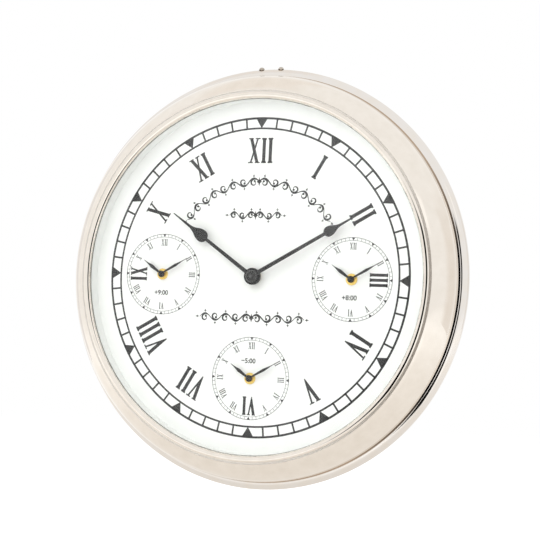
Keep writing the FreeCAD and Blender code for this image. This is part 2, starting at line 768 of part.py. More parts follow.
def set_wheel(name, place):
    """Set wheel with its pinion in front and its setting knob at the back, on one arbor."""
    body = new_body(f"{name}_set_wheel", (place[0], f"{place[1]} + arbor_space"))
    knob_front = f"({HOUSING_BACK} - knob_gap)"
    knob_back = f"({knob_front} - knob_height)"
    pinion_front = f"({HOUR_WHEEL_FRONT} + end_play)"
    half_tooth = "180 / set_wheel_teeth"
    gear_teeth(body, "set_wheel_teeth", SET_MODULE, SET_WHEEL_BACK, SET_WHEEL_FRONT, half_tooth)
    gear_teeth(body, "pinion_teeth", HOUR_MODULE, SET_WHEEL_FRONT, pinion_front)
    for radius, back, front in (
        ("set_arbor_radius", knob_back, SET_WHEEL_FRONT),
        ("knob_radius", knob_back, knob_front),
    ):
        length = front_sketch(body, back)
        circle(length, "0", "0", radius)
        pad(body, length, f"{front} - {back}")


def pear_hand(sketch, hand):
    """Outline of a large hand that points up: stem, round-backed bulb, ogee and needle."""
    length = f"{hand}_length"
    bulb_place = f"{hand}_bulb_place"
    needle = f"{hand}_needle"
    bulb = f"({hand}_bulb_width / 2)"
    back = f"({bulb_place} - bulb_back_share * {bulb})"
    needle_start = f"({bulb_place} + bulb_front_share * {bulb})"
    turn_place = f"({bulb_place} + bulb_turn_share * bulb_front_share * {bulb})"
    turn_half = f"({bulb} - bulb_turn_share * ({bulb} - {needle}))"

    def tangent_arc(length_along, fall):
        return f"(({length_along}) ^ 2 + ({fall}) ^ 2) / (2 * ({fall}))"

    back_arc = tangent_arc(f"{bulb_place} - {back}", f"{bulb} - stem_head")
    crown_arc = tangent_arc(f"{turn_place} - {bulb_place}", f"{bulb} - {turn_half}")
    neck_arc = tangent_arc(f"{needle_start} - {turn_place}", f"{turn_half} - {needle}")
    outline(sketch, [
        ("-stem_foot", "0"),
        ("stem_foot", "0"),
        ("stem_head", back, back_arc, 1),
        (bulb, bulb_place, crown_arc, 1),
        (turn_half, turn_place, neck_arc, -1),
        (needle, needle_start),
        ("needle_tip", length),
        ("-needle_tip", length),
        (f"-{needle}", needle_start, neck_arc, -1),
        (f"-{turn_half}", turn_place, crown_arc, 1),
        (f"-{bulb}", bulb_place, back_arc, 1),
        ("-stem_head", back),
    ])


def leaf_hand(sketch, hand):
    """Outline of a small hand that points up: it widens to a slim leaf and ends in a needle."""
    length = f"{hand}_length"
    half = f"({hand}_leaf_width / 2)"
    outline(sketch, [
        (f"-leaf_foot_share * {half}", "0"),
        (f"leaf_foot_share * {half}", "0"),
        (half, f"leaf_place_share * {length}"),
        (f"leaf_neck_share * {half}", f"leaf_needle_share * {length}"),
        ("leaf_tip", length),
        ("-leaf_tip", length),
        (f"-leaf_neck_share * {half}", f"leaf_needle_share * {length}"),
        (f"-{half}", f"leaf_place_share * {length}"),
    ])


def hands(name, place, kind):
    """Hour hand on its pipe, minute hand on its arbor, and the cap nut that holds it."""
    hour = new_body(f"{name}_hour_hand", place, "hour_angle")
    minute = new_body(f"{name}_minute_hand", place, "minute_angle")
    hour_front = HOUR_HAND_FRONT[kind]
    minute_front = MINUTE_HAND_FRONT[kind]
    hour_bore = "hour_pipe_radius + fit_clearance"
    minute_bore = "arbor_tip_radius + fit_clearance"
    thickness = f"{kind}_hand_thickness"
    hour_sketch = front_sketch(hour, f"{hour_front} - {thickness}")
    minute_sketch = front_sketch(minute, f"{minute_front} - {thickness}")
    if kind == "main":
        pear_hand(hour_sketch, "main_hour")
        pear_hand(minute_sketch, "main_minute")
    else:
        leaf_hand(hour_sketch, "small_hour")
        leaf_hand(minute_sketch, "small_minute")
    hour_boss_back = f"{hour_front} - {kind}_hour_boss_height"
    hour_boss = ring(hour_bore, f"{kind}_hour_boss_radius", hour_boss_back, hour_front)
    minute_boss = ring(minute_bore, f"{kind}_minute_boss_radius", MINUTE_BOSS_BACK[kind], minute_front)
    for body, sketch, front, bore, boss in (
        (hour, hour_sketch, hour_front, hour_bore, hour_boss),
        (minute, minute_sketch, minute_front, minute_bore, minute_boss),
    ):
        pad(body, sketch, thickness)
        turned(body, boss)
        hole = front_sketch(body, front)
        circle(hole, "0", "0", bore)
        pocket(body, hole, thickness)

    nut = new_body(f"{name}_hand_nut", place)
    nut_front = f"({minute_front} + hand_nut_height)"
    thread_end = f"{ARBOR_END[kind]} + fit_clearance"
    turned(nut, [
        (minute_front, "arbor_tip_radius + fit_clearance"),
        (minute_front, "hand_nut_radius"),
        (f"{nut_front} - hand_nut_crown", "hand_nut_radius"),
        (nut_front, "hand_nut_radius - hand_nut_crown"),
        (nut_front, "0"),
        (thread_end, "0"),
        (thread_end, "arbor_tip_radius + fit_clearance"),
    ])


case_shell()
dial_ledge()
bezel_ring()
glass_parts()
dial_plate()
hanger()
rubber_washers()
bushes_and_nuts()
for movement, spot in PLACES.items():
    movement_case(movement, spot)
    movement_front(movement, spot)
    battery_parts(movement, spot)
    minute_arbor(movement, spot, KINDS[movement])
    hour_wheel(movement, spot, KINDS[movement])
    set_wheel(movement, spot)
    hands(movement, spot, KINDS[movement])
doc.recompute()

# Every object must have computed, every cut must have removed material, every piece must be valid
for item in doc.Objects:
    if "Invalid" in item.State or "Error" in item.State:
        raise RuntimeError(f"{item.Label} did not compute: {item.State}")
    if item.TypeId == "PartDesign::Pocket" and item.Shape.Volume >= item.BaseFeature.Shape.Volume:
        raise RuntimeError(f"{item.Label} cuts nothing")
for body in bodies:
    if body.Shape.isNull() or not body.Shape.isValid():
        raise RuntimeError(f"{body.Label} has no valid shape")

os.makedirs("parts", exist_ok=True)
for body in bodies:
    body.Shape.exportStep(f"parts/{body.Label}.step")
print(f"{len(bodies)} pieces written")
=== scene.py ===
import math

import bmesh
import bpy
from mathutils import Matrix, Vector


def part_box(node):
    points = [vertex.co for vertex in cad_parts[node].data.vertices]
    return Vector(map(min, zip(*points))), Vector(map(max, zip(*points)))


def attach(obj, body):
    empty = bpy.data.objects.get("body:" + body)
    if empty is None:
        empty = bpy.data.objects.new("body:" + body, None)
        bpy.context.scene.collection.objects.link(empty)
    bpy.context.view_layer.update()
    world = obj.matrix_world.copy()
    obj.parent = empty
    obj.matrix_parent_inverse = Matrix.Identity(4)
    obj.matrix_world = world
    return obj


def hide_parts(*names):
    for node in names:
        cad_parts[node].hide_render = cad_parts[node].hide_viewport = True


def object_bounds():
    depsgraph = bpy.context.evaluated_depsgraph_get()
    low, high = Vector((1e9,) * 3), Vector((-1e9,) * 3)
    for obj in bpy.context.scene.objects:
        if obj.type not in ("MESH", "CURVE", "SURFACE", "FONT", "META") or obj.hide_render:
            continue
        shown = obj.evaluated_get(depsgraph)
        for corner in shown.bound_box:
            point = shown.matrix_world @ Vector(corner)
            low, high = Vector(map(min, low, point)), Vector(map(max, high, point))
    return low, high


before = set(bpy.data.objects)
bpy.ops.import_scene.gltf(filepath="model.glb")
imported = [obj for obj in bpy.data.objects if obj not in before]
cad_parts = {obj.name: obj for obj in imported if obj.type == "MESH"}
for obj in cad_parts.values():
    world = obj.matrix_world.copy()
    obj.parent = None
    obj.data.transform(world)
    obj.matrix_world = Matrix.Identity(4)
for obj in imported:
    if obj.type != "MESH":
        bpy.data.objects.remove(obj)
cad_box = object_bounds()

# Case: one sheet of brass spun over a former, with a rounded rim at the wall and a rolled neck that the
# bezel's edge overhangs. It is nickel-plated and polished to a mirror. Deep in the neck, shade is painted
# into the colour: brown, and black low on the right.
MM = 0.001
low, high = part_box("glass_pane")
DIAL_AXIS = Vector(((low.x + high.x) / 2, 0, (low.z + high.z) / 2))
RING_STEPS = 480


def linear(code):
    """Linear RGBA of an sRGB hex colour."""
    shares = [int(code[place:place + 2], 16) / 255 for place in (0, 2, 4)]
    light = [share / 12.92 if share <= 0.04045 else ((share + 0.055) / 1.055) ** 2.4 for share in shares]
    return (*light, 1)


def add(tree, kind, inputs=None, **settings):
    """Add a node with its settings, and set or link its inputs."""
    node = tree.nodes.new(kind)
    for name, value in settings.items():
        setattr(node, name, value)
    for name, value in (inputs or {}).items():
        if isinstance(value, bpy.types.NodeSocket):
            tree.links.new(value, node.inputs[name])
        else:
            node.inputs[name].default_value = value
    return node


def new_material(name):
    """An empty material: its node tree, its output and the coordinates of the object, in metres."""
    material = bpy.data.materials.new(name)
    material.use_nodes = True
    tree = material.node_tree
    tree.nodes.clear()
    output = add(tree, "ShaderNodeOutputMaterial")
    place = add(tree, "ShaderNodeTexCoord").outputs["Object"]
    return material, tree, output, place


def bend(start, end, radius, side, steps=12):
    """Points along an arc after its start, for a turned outline. The centre is on the left for side 1."""
    start, end = Vector(start), Vector(end)
    chord = end - start
    across = Vector((-chord.y, chord.x)).normalized() * side
    centre = (start + end) / 2 + across * math.sqrt(radius ** 2 - (chord.length / 2) ** 2)
    sweep = 2 * math.asin(chord.length / 2 / radius) * side
    spoke = start - centre
    return [tuple(centre + Matrix.Rotation(sweep * step / steps, 2) @ spoke) for step in range(1, steps + 1)]


def skin(bm, rings, closed=True):
    """Faces between rings of vertices that follow one another, each ring closed in itself."""
    faces = []
    for ring, following in zip(rings, rings[1:] + rings[:1] if closed else rings[1:]):
        for index in range(len(ring)):
            after = (index + 1) % len(ring)
            faces.append(bm.faces.new((ring[index], ring[after], following[after], following[index])))
    return faces


def finish_mesh(bm, name, material, body, sharp=35):
    """Turn a bmesh into a piece that rides on a body."""
    bmesh.ops.recalc_face_normals(bm, faces=bm.faces)
    mesh = bpy.data.meshes.new(name)
    bm.to_mesh(mesh)
    bm.free()
    mesh.polygons.foreach_set("use_smooth", [True] * len(mesh.polygons))
    mesh.set_sharp_from_angle(angle=math.radians(sharp))
    mesh.materials.append(material)
    piece = bpy.data.objects.new(name, mesh)
    bpy.context.scene.collection.objects.link(piece)
    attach(piece, body)
    return piece


def turned(name, outline, material, centre=DIAL_AXIS, body="case", steps=RING_STEPS, shade_band=None):
    """A piece spun about an axis that points out of the dial, from (radius, depth) points in mm.

    The band of painted shade is a second material, given with the least and greatest radius and depth where
    it shows.
    """
    bm = bmesh.new()
    rings = []
    for step in range(steps):
        angle = 2 * math.pi * step / steps
        across, up = math.sin(angle) * MM, math.cos(angle) * MM
        rings.append([bm.verts.new(centre + Vector((radius * across, -depth * MM, radius * up)))
                      for radius, depth in outline])
    faces = skin(bm, rings)
    # Faces inside the band take the second material, which carries painted shade.
    if shade_band:
        film, inner, outer, back, front = shade_band
        middles = [((r1 + r2) / 2, (d1 + d2) / 2)
                   for (r1, d1), (r2, d2) in zip(outline, outline[1:] + outline[:1])]
        shaded = [inner < radius < outer and back < depth < front for radius, depth in middles]
        for order, face in enumerate(faces):
            face.material_index = int(shaded[order % len(outline)])
    bmesh.ops.remove_doubles(bm, verts=bm.verts, dist=1e-7)
    bmesh.ops.delete(bm, geom=[edge for edge in bm.edges if edge.is_wire], context="EDGES")
    piece = finish_mesh(bm, name, material, body)
    if shade_band:
        piece.data.materials.append(film)
    return piece


def dress(node, material):
    """Give a piece of the frame its finish."""
    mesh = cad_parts[node].data
    mesh.materials.clear()
    mesh.materials.append(material)


def polished_nickel(name, base, polish):
    """Bright nickel plate, buffed: a warm mirror with slow waves and a fine haze from the wheel."""
    material, tree, output, place = new_material(name)
    ORANGE_PEEL = 12 * MM
    BUFFING = 0.9 * MM
    waves = add(tree, "ShaderNodeTexNoise", {"Vector": place, "Scale": 1 / ORANGE_PEEL, "Detail": 2})
    marks = add(tree, "ShaderNodeTexNoise", {"Vector": place, "Scale": 1 / BUFFING, "Detail": 4})
    haze = add(tree, "ShaderNodeMapRange", {
        "Value": marks.outputs["Fac"], "From Min": 0.3, "From Max": 0.7,
        "To Min": polish * 0.6, "To Max": polish * 1.5})
    tone = add(tree, "ShaderNodeMix", {
        0: waves.outputs["Fac"], 6: linear(base), 7: linear("E9E1D6")}, data_type="RGBA")
    relief = add(tree, "ShaderNodeBump", {
        "Height": waves.outputs["Fac"], "Strength": 0.03, "Distance": 0.4 * MM})
    shader = add(tree, "ShaderNodeBsdfPrincipled", {
        "Base Color": tone.outputs[2], "Metallic": 1.0, "Roughness": haze.outputs["Result"],
        "Normal": relief.outputs["Normal"]})
    tree.links.new(shader.outputs["BSDF"], output.inputs["Surface"])
    return material


def nickel_with_painted_shade(name, faint, strong, roughness):
    """Nickel with painted shade in a recess: the faint colour, darkening to the strong one towards low
    right.
    """
    material, tree, output, place = new_material(name)
    CRUMB, CRUMB_REACH = 6 * MM, 10 * MM
    # From the axis towards low right: where the painted shade starts to darken, and where it is darkest
    LOW_RIGHT = (0.978, 0, -0.208)
    SHADE_START, SHADE_FULL = 150 * MM, 212 * MM
    spread = add(tree, "ShaderNodeMapping", {
        "Vector": place, "Location": -DIAL_AXIS}, vector_type="POINT")
    across = add(tree, "ShaderNodeVectorMath", {
        0: spread.outputs["Vector"], 1: LOW_RIGHT}, operation="DOT_PRODUCT")
    crumb = add(tree, "ShaderNodeTexNoise", {"Vector": place, "Scale": 1 / CRUMB, "Detail": 1})
    uneven = add(tree, "ShaderNodeMath", {
        0: crumb.outputs["Fac"], 1: CRUMB_REACH, 2: across.outputs["Value"]}, operation="MULTIPLY_ADD")
    cover = add(tree, "ShaderNodeMapRange", {
        "Value": uneven.outputs["Value"], "From Min": SHADE_START, "From Max": SHADE_FULL})
    tone = add(tree, "ShaderNodeMix", {
        0: cover.outputs["Result"], 6: linear(faint), 7: linear(strong)}, data_type="RGBA")
    shader = add(tree, "ShaderNodeBsdfPrincipled", {
        "Base Color": tone.outputs[2], "Metallic": 1.0, "Roughness": roughness})
    tree.links.new(shader.outputs["BSDF"], output.inputs["Surface"])
    return material


CASE_RADIUS, CASE_SHEET = 228.3, 1.2
RIM_DEPTH, RIM_SIDE, RIM_SWEEP = 8.5, 4.6, 8.0
# Inside the rim: the start of its sweep past the neck and below the rim, and its end below the side's
RIM_INSIDE_START, RIM_INSIDE_DROP, RIM_INSIDE_SIDE = 1.0, 1.4, 0.4
# Neck: its two radii, the roll between them, and how far out the painted shade lies
NECK_OUTER, NECK_RADIUS, NECK_ROLL, NECK_BEND, NECK_SHADE_EDGE = 221.8, 218.9, 1.6, 3.4, 220.5
BEZEL_FOOT, BEZEL_RADIUS, BEZEL_SHEET = 13.0, 219.5, 1.2
SEAT_RADIUS, SEAT_TOP = 218.2, 15.5
LEDGE, FRONT_RADIUS = 22.8, 215.8
rim = [(CASE_RADIUS, 0), (CASE_RADIUS, RIM_SIDE)]
rim += bend(rim[-1], (NECK_OUTER, RIM_DEPTH), RIM_SWEEP, 1, 20)
rim += bend(rim[-1], (NECK_RADIUS, RIM_DEPTH + NECK_ROLL), NECK_BEND, -1, 6)
rim += [(NECK_RADIUS, BEZEL_FOOT), (SEAT_RADIUS, BEZEL_FOOT), (SEAT_RADIUS, SEAT_TOP), (FRONT_RADIUS, LEDGE)]
inside = [(FRONT_RADIUS - CASE_SHEET, LEDGE), (SEAT_RADIUS - CASE_SHEET, SEAT_TOP),
          (SEAT_RADIUS - CASE_SHEET, BEZEL_FOOT), (NECK_OUTER - 2 * CASE_SHEET, RIM_DEPTH - CASE_SHEET),
          (NECK_OUTER + RIM_INSIDE_START, RIM_DEPTH - RIM_INSIDE_DROP)]
inside += bend(inside[-1], (CASE_RADIUS - CASE_SHEET, RIM_SIDE - RIM_INSIDE_SIDE), RIM_SWEEP, -1, 12)
inside.append((CASE_RADIUS - CASE_SHEET, 0))
nickel_case = polished_nickel("nickel_plate_polished_case", "EAE7E5", 0.045)
# Painted shade deep in the neck: brown, turning black towards low right.
neck_painted_shade = nickel_with_painted_shade("nickel_plate_painted_shade_neck", "B7A38F", "0C0A09", 0.22)
spun_case = turned("spun_case", rim + inside, nickel_case,
                   shade_band=(neck_painted_shade, SEAT_RADIUS, NECK_SHADE_EDGE, RIM_DEPTH, BEZEL_FOOT))
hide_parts("case_shell")
dress("case_shell", nickel_case)

# Bezel: a second spun and polished ring that snaps over the neck. Its face is one convex sweep. A narrow
# groove parts it from the half-round bead that runs down to the lip over the glass.
OPENING, LIP_EDGE, LIP_TOP = 190.0, 41.0, 42.0
FACE_SWEEP, FACE_TOP = 32.35, (199.2, 42.96)
INNER_SWEEP, INNER_FOOT = 31.15, 16.0
GROOVE_FLOOR = 42.15
# Radius and rise over the floor, across the groove from the face to the bead
GROOVE = [(198.6, 0.5), (198.1, 0), (197.2, 0.1), (196.7, 0.9)]
GROOVE_SHOULDER, FLOOR_MARGIN = 1.0, 0.05
BEAD_SWEEP, BEAD_FOOT = 4.4, (196.6, 44.37)
# Radius and depth along the sheet's inside, from lip to groove
BEAD_INSIDE = [(192.6, 43.1), (194.6, 43.6), (196.2, 42.2), (197.6, 41.3)]
groove = [(radius, GROOVE_FLOOR + rise) for radius, rise in GROOVE]
face = [(BEZEL_RADIUS, BEZEL_FOOT)]
face += bend(face[0], FACE_TOP, FACE_SWEEP, 1, 40)
face += bend(FACE_TOP, groove[0], GROOVE_SHOULDER, 1, 3)
face += groove[1:] + [BEAD_FOOT]
face += bend(BEAD_FOOT, (OPENING, LIP_TOP), BEAD_SWEEP, 1, 16)
back = [(OPENING, LIP_EDGE), (OPENING + BEZEL_SHEET, LIP_EDGE)] + BEAD_INSIDE
back += bend(back[-1], (BEZEL_RADIUS - BEZEL_SHEET, INNER_FOOT), INNER_SWEEP, -1, 24)
back.append((BEZEL_RADIUS - BEZEL_SHEET, BEZEL_FOOT))
nickel_bezel = polished_nickel("nickel_plate_polished_bezel", "F6EFE6", 0.03)
# Painted shade in the groove: pale grey, a little darker towards low right.
groove_painted_shade = nickel_with_painted_shade("nickel_plate_painted_shade_groove", "F0ECE6", "D2CBC2", 0.6)
spun_bezel = turned("spun_bezel", face + back, nickel_bezel,
                    shade_band=(groove_painted_shade, BEAD_FOOT[0], FACE_TOP[0], GROOVE_FLOOR - FLOOR_MARGIN,
                             BEAD_FOOT[1]))
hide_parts("bezel_ring")
dress("bezel_ring", nickel_bezel)

# Glass and its seal: 2 mm float glass under a flat ring of grey rubber, whose inner edge shows as a fine
# dark line inside the lip.


def float_glass():
    """Clear float glass. The print under it is nearly black, so it mirrors less than plain glass does."""
    material, tree, output, place = new_material("float_glass_clear")
    RIPPLE = 60 * MM
    ripple = add(tree, "ShaderNodeTexNoise", {"Vector": place, "Scale": 1 / RIPPLE, "Detail": 1})
    relief = add(tree, "ShaderNodeBump", {
        "Height": ripple.outputs["Fac"], "Strength": 0.02, "Distance": 0.5 * MM})
    glass = add(tree, "ShaderNodeBsdfPrincipled", {
        "Base Color": linear("FFFFFF"), "Roughness": 0.0, "IOR": 1.36, "Transmission Weight": 1.0,
        "Normal": relief.outputs["Normal"]})
    clear = add(tree, "ShaderNodeBsdfTransparent", {"Color": linear("FBFDFB")})
    rays = add(tree, "ShaderNodeLightPath")
    both = add(tree, "ShaderNodeMixShader", {
        0: rays.outputs["Is Shadow Ray"], 1: glass.outputs["BSDF"], 2: clear.outputs["BSDF"]})
    tree.links.new(both.outputs["Shader"], output.inputs["Surface"])
    return material


def rubber(name, base):
    """Moulded rubber: matt, with a fine bloom."""
    material, tree, output, place = new_material(name)
    BLOOM = 1.5 * MM
    bloom = add(tree, "ShaderNodeTexNoise", {"Vector": place, "Scale": 1 / BLOOM, "Detail": 5})
    tone = add(tree, "ShaderNodeMix", {
        0: bloom.outputs["Fac"], 6: linear(base), 7: linear("8C8A84")}, data_type="RGBA")
    relief = add(tree, "ShaderNodeBump", {
        "Height": bloom.outputs["Fac"], "Strength": 0.3, "Distance": 0.05 * MM})
    shader = add(tree, "ShaderNodeBsdfPrincipled", {
        "Base Color": tone.outputs[2], "Roughness": 0.7, "Normal": relief.outputs["Normal"]})
    tree.links.new(shader.outputs["BSDF"], output.inputs["Surface"])
    return material


SEAL_INNER, SEAL_OUTER, SEAL_CORNER = 189.5, 197.1, 0.3
GLASS_FRONT = -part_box("glass_pane")[0].y / MM
dress("glass_pane", float_glass())
seal_rubber = rubber("silicone_rubber_grey", "76736E")
dress("glass_seal", seal_rubber)
seal = [(SEAL_INNER, GLASS_FRONT), (SEAL_OUTER, GLASS_FRONT), (SEAL_OUTER, LIP_EDGE),
        (SEAL_INNER + SEAL_CORNER, LIP_EDGE), (SEAL_INNER, LIP_EDGE - SEAL_CORNER)]
seal_lip = turned("seal_strip", seal, seal_rubber)
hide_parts("glass_seal")
dress("rubber_washers", rubber("nitrile_rubber_black", "151515"))

# Well wall and dial: a rolled strip and a flat sheet of aluminium, both stove-enamelled white. The bezel's
# lip, the seal and the glass hold them down on the ledge of the case.


def stove_enamel(name, base, roughness):
    """White stove enamel on aluminium: even and satin, bare metal on the side that faces the wall."""
    material, tree, output, place = new_material(name)
    MOTTLE = 14 * MM
    GRAIN = 0.5 * MM
    ROLLING = 0.7 * MM
    mottle = add(tree, "ShaderNodeTexNoise", {"Vector": place, "Scale": 1 / MOTTLE, "Detail": 3})
    grain = add(tree, "ShaderNodeTexNoise", {"Vector": place, "Scale": 1 / GRAIN, "Detail": 3})
    paint_tone = add(tree, "ShaderNodeMix", {
        0: mottle.outputs["Fac"], 6: linear(base), 7: linear("FAFCF8")}, data_type="RGBA")
    relief = add(tree, "ShaderNodeBump", {
        "Height": grain.outputs["Fac"], "Strength": 0.08, "Distance": 0.05 * MM})
    paint = add(tree, "ShaderNodeBsdfPrincipled", {
        "Base Color": paint_tone.outputs[2], "Roughness": roughness, "Normal": relief.outputs["Normal"]})
    stretch = add(tree, "ShaderNodeMapping", {"Vector": place, "Scale": (0.02, 1, 1)})
    rolled = add(tree, "ShaderNodeTexNoise", {
        "Vector": stretch.outputs["Vector"], "Scale": 1 / ROLLING, "Detail": 3})
    metal_tone = add(tree, "ShaderNodeMix", {
        0: rolled.outputs["Fac"], 6: linear("B9BABB"), 7: linear("D6D7D7")}, data_type="RGBA")
    metal = add(tree, "ShaderNodeBsdfPrincipled", {
        "Base Color": metal_tone.outputs[2], "Metallic": 1.0, "Roughness": 0.38})
    facing = add(tree, "ShaderNodeSeparateXYZ", {0: add(tree, "ShaderNodeNewGeometry").outputs["Normal"]})
    behind = add(tree, "ShaderNodeMath", {0: facing.outputs["Y"], 1: 0.5}, operation="GREATER_THAN")
    both = add(tree, "ShaderNodeMixShader", {
        0: behind.outputs["Value"], 1: paint.outputs["BSDF"], 2: metal.outputs["BSDF"]})
    tree.links.new(both.outputs["Shader"], output.inputs["Surface"])
    return material


def zinc_plate(name):
    """Zinc-plated steel: blue-white, softly spangled."""
    material, tree, output, place = new_material(name)
    SPANGLE = 3 * MM
    spangle = add(tree, "ShaderNodeTexVoronoi", {"Vector": place, "Scale": 1 / SPANGLE})
    tone = add(tree, "ShaderNodeMix", {
        0: spangle.outputs["Distance"], 6: linear("B4B8BA"), 7: linear("D2D4D2")}, data_type="RGBA")
    haze = add(tree, "ShaderNodeMapRange", {
        "Value": spangle.outputs["Distance"], "To Min": 0.25, "To Max": 0.42})
    shader = add(tree, "ShaderNodeBsdfPrincipled", {
        "Base Color": tone.outputs[2], "Metallic": 1.0, "Roughness": haze.outputs["Result"]})
    tree.links.new(shader.outputs["BSDF"], output.inputs["Surface"])
    return material


zinc = zinc_plate("zinc_plated_steel")
dress("dial_plate", stove_enamel("stove_enamel_dial", "FDFEFC", 0.42))
dress("spacer_ring", stove_enamel("stove_enamel_well", "FCFDFB", 0.35))
dress("dial_ledge", zinc)
dress("hanger_bracket", zinc)
dress("hanger_screws", polished_nickel("nickel_plate_screws", "7A6A5C", 0.2))

# Dial print, large display: black ink screened on the enamel. The minute track is two circles with a line
# for each minute and a solid triangle for each hour. The Roman numerals stand on the arbor's side, and
# the three that fall on the small displays are drawn smaller.
FACE = -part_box("dial_plate")[0].y / MM
INK_FILM = 0.03
TRACK_OUTER, TRACK_OUTER_LINE = 171.4, 2.3
TRACK_INNER, TRACK_INNER_LINE = 160.4, 2.0
MINUTE_LINE = 2.0
HOUR_MARK = 13.5
NUMERAL_FOOT, NUMERAL_HEIGHT, NUMERAL_WEIGHT = 122.6, 27.4, 1.0
INSET_FOOT, INSET_HEIGHT, INSET_WEIGHT = 128.4, 19.8, 1.15
SMALL_PITCH = 109.0
SMALL_DIALS = {"left": (-SMALL_PITCH, 0), "right": (SMALL_PITCH, 0), "lower": (0, -SMALL_PITCH)}
MINUTE_ANGLE, HOUR_ANGLE = 6, 30
NUMERALS = dict(enumerate(
    ("I", "II", "III", "IV", "V", "VI", "VII", "VIII", "IX", "X", "XI", "XII"), start=1))
INSET_HOURS = {9: "left", 3: "right", 6: "lower"}
# Shares of a numeral's height
STROKE_SHARE, THIN_SHARE, SERIF_SHARE, LIP_SHARE, BRACE_SHARE = 0.136, 0.072, 0.102, 0.05, 0.045
GAP_SHARE, SPREAD_SHARE, APEX_SHARE = 0.066, 0.142, 0.02


def spot(x, z, depth, centre=DIAL_AXIS):
    """A point from mm right of and above a centre and a depth from the wall."""
    return centre + Vector((x, -depth, z)) * MM


def round_dial(angle, radius, centre=(0, 0), across=0):
    """x and z of a point at a clock angle in degrees, with a step across to the clockwise side."""
    turn = math.radians(angle)
    return (centre[0] + radius * math.sin(turn) + across * math.cos(turn),
            centre[1] + radius * math.cos(turn) - across * math.sin(turn))


def slab(bm, centre, points, first, last):
    """A closed solid from its outline, in mm right of and above a centre, between two depths."""
    rows = [[bm.verts.new(spot(x, z, depth, centre)) for x, z in points] for depth in (first, last)]
    bm.faces.new(rows[0])
    bm.faces.new(rows[1][::-1])
    for index in range(len(points)):
        after = (index + 1) % len(points)
        bm.faces.new((rows[0][index], rows[1][index], rows[1][after], rows[0][after]))


def print_patch(bm, points):
    """A closed patch of ink from its outline."""
    slab(bm, DIAL_AXIS, points, FACE + INK_FILM, FACE)


def print_ribbon(bm, left, right, closed=False):
    """A closed strip of ink between two rows of points."""
    rows = []
    for (x1, z1), (x2, z2) in zip(left, right):
        rows.append([bm.verts.new(spot(x, z, depth))
                     for x, z, depth in ((x1, z1, FACE + INK_FILM), (x2, z2, FACE + INK_FILM),
                                         (x2, z2, FACE), (x1, z1, FACE))])
    skin(bm, rows, closed)
    if not closed:
        bm.faces.new(rows[0])
        bm.faces.new(rows[-1][::-1])


def print_circle(bm, radius, line, centre=(0, 0), steps=240):
    """A ring of ink, its line centred on the radius."""
    angles = [360 * step / steps for step in range(steps)]
    print_ribbon(bm, [round_dial(angle, radius + line / 2, centre) for angle in angles],
                 [round_dial(angle, radius - line / 2, centre) for angle in angles], closed=True)


def print_bar(bm, angle, inner, outer, line, centre=(0, 0)):
    """A straight radial line of ink."""
    print_patch(bm, [round_dial(angle, radius, centre, across)
                     for radius, across in ((inner, -line / 2), (outer, -line / 2),
                                            (outer, line / 2), (inner, line / 2))])


def print_track(bm, outer, outer_line, inner, inner_line, tick, mark, centre=(0, 0), steps=240):
    """Two circles of ink with a line between them for each minute and a triangle for each hour."""
    print_circle(bm, outer, outer_line, centre, steps)
    print_circle(bm, inner, inner_line, centre, steps)
    for minute in range(60):
        angle = MINUTE_ANGLE * minute
        if minute % 5:
            print_bar(bm, angle, inner, outer, tick, centre)
        else:
            print_patch(bm, [round_dial(angle, outer, centre, -mark / 2),
                             round_dial(angle, outer, centre, mark / 2), round_dial(angle, inner, centre)])


def glyph_i(height, weight):
    """Upright stroke with bracketed slab serifs, and its half width."""
    stroke, serif = STROKE_SHARE * weight * height / 2, SERIF_SHARE * height
    lip, brace = LIP_SHARE * height, (LIP_SHARE + BRACE_SHARE) * height
    side = [(serif, 0), (serif, lip), (stroke, brace), (stroke, height - brace), (serif, height - lip),
            (serif, height)]
    return side + [(-x, z) for x, z in reversed(side)], serif


def glyph_v(height, weight):
    """Thick stroke falling to the right, thin stroke rising from their point."""
    thick, thin = STROKE_SHARE * weight * height, THIN_SHARE * weight * height
    lip, spread, apex = LIP_SHARE * height, SPREAD_SHARE * height, APEX_SHARE * height
    serif, top = SERIF_SHARE * height, height - lip
    fall = (spread + thick / 2 - apex) / top
    rise = (spread + thin / 2 - apex) / top
    notch = top - (2 * spread - thick / 2 - thin / 2) / (fall + rise)
    notch_x = -spread + thick / 2 + fall * (top - notch)
    return [(-apex, 0), (apex, 0), (spread + thin / 2, top), (spread + serif, top),
            (spread + serif, height), (spread - serif, height), (spread - serif, top),
            (spread - thin / 2, top), (notch_x, notch), (-spread + thick / 2, top),
            (-spread + serif, top), (-spread + serif, height), (-spread - serif, height),
            (-spread - serif, top), (-spread - thick / 2, top)], spread + serif


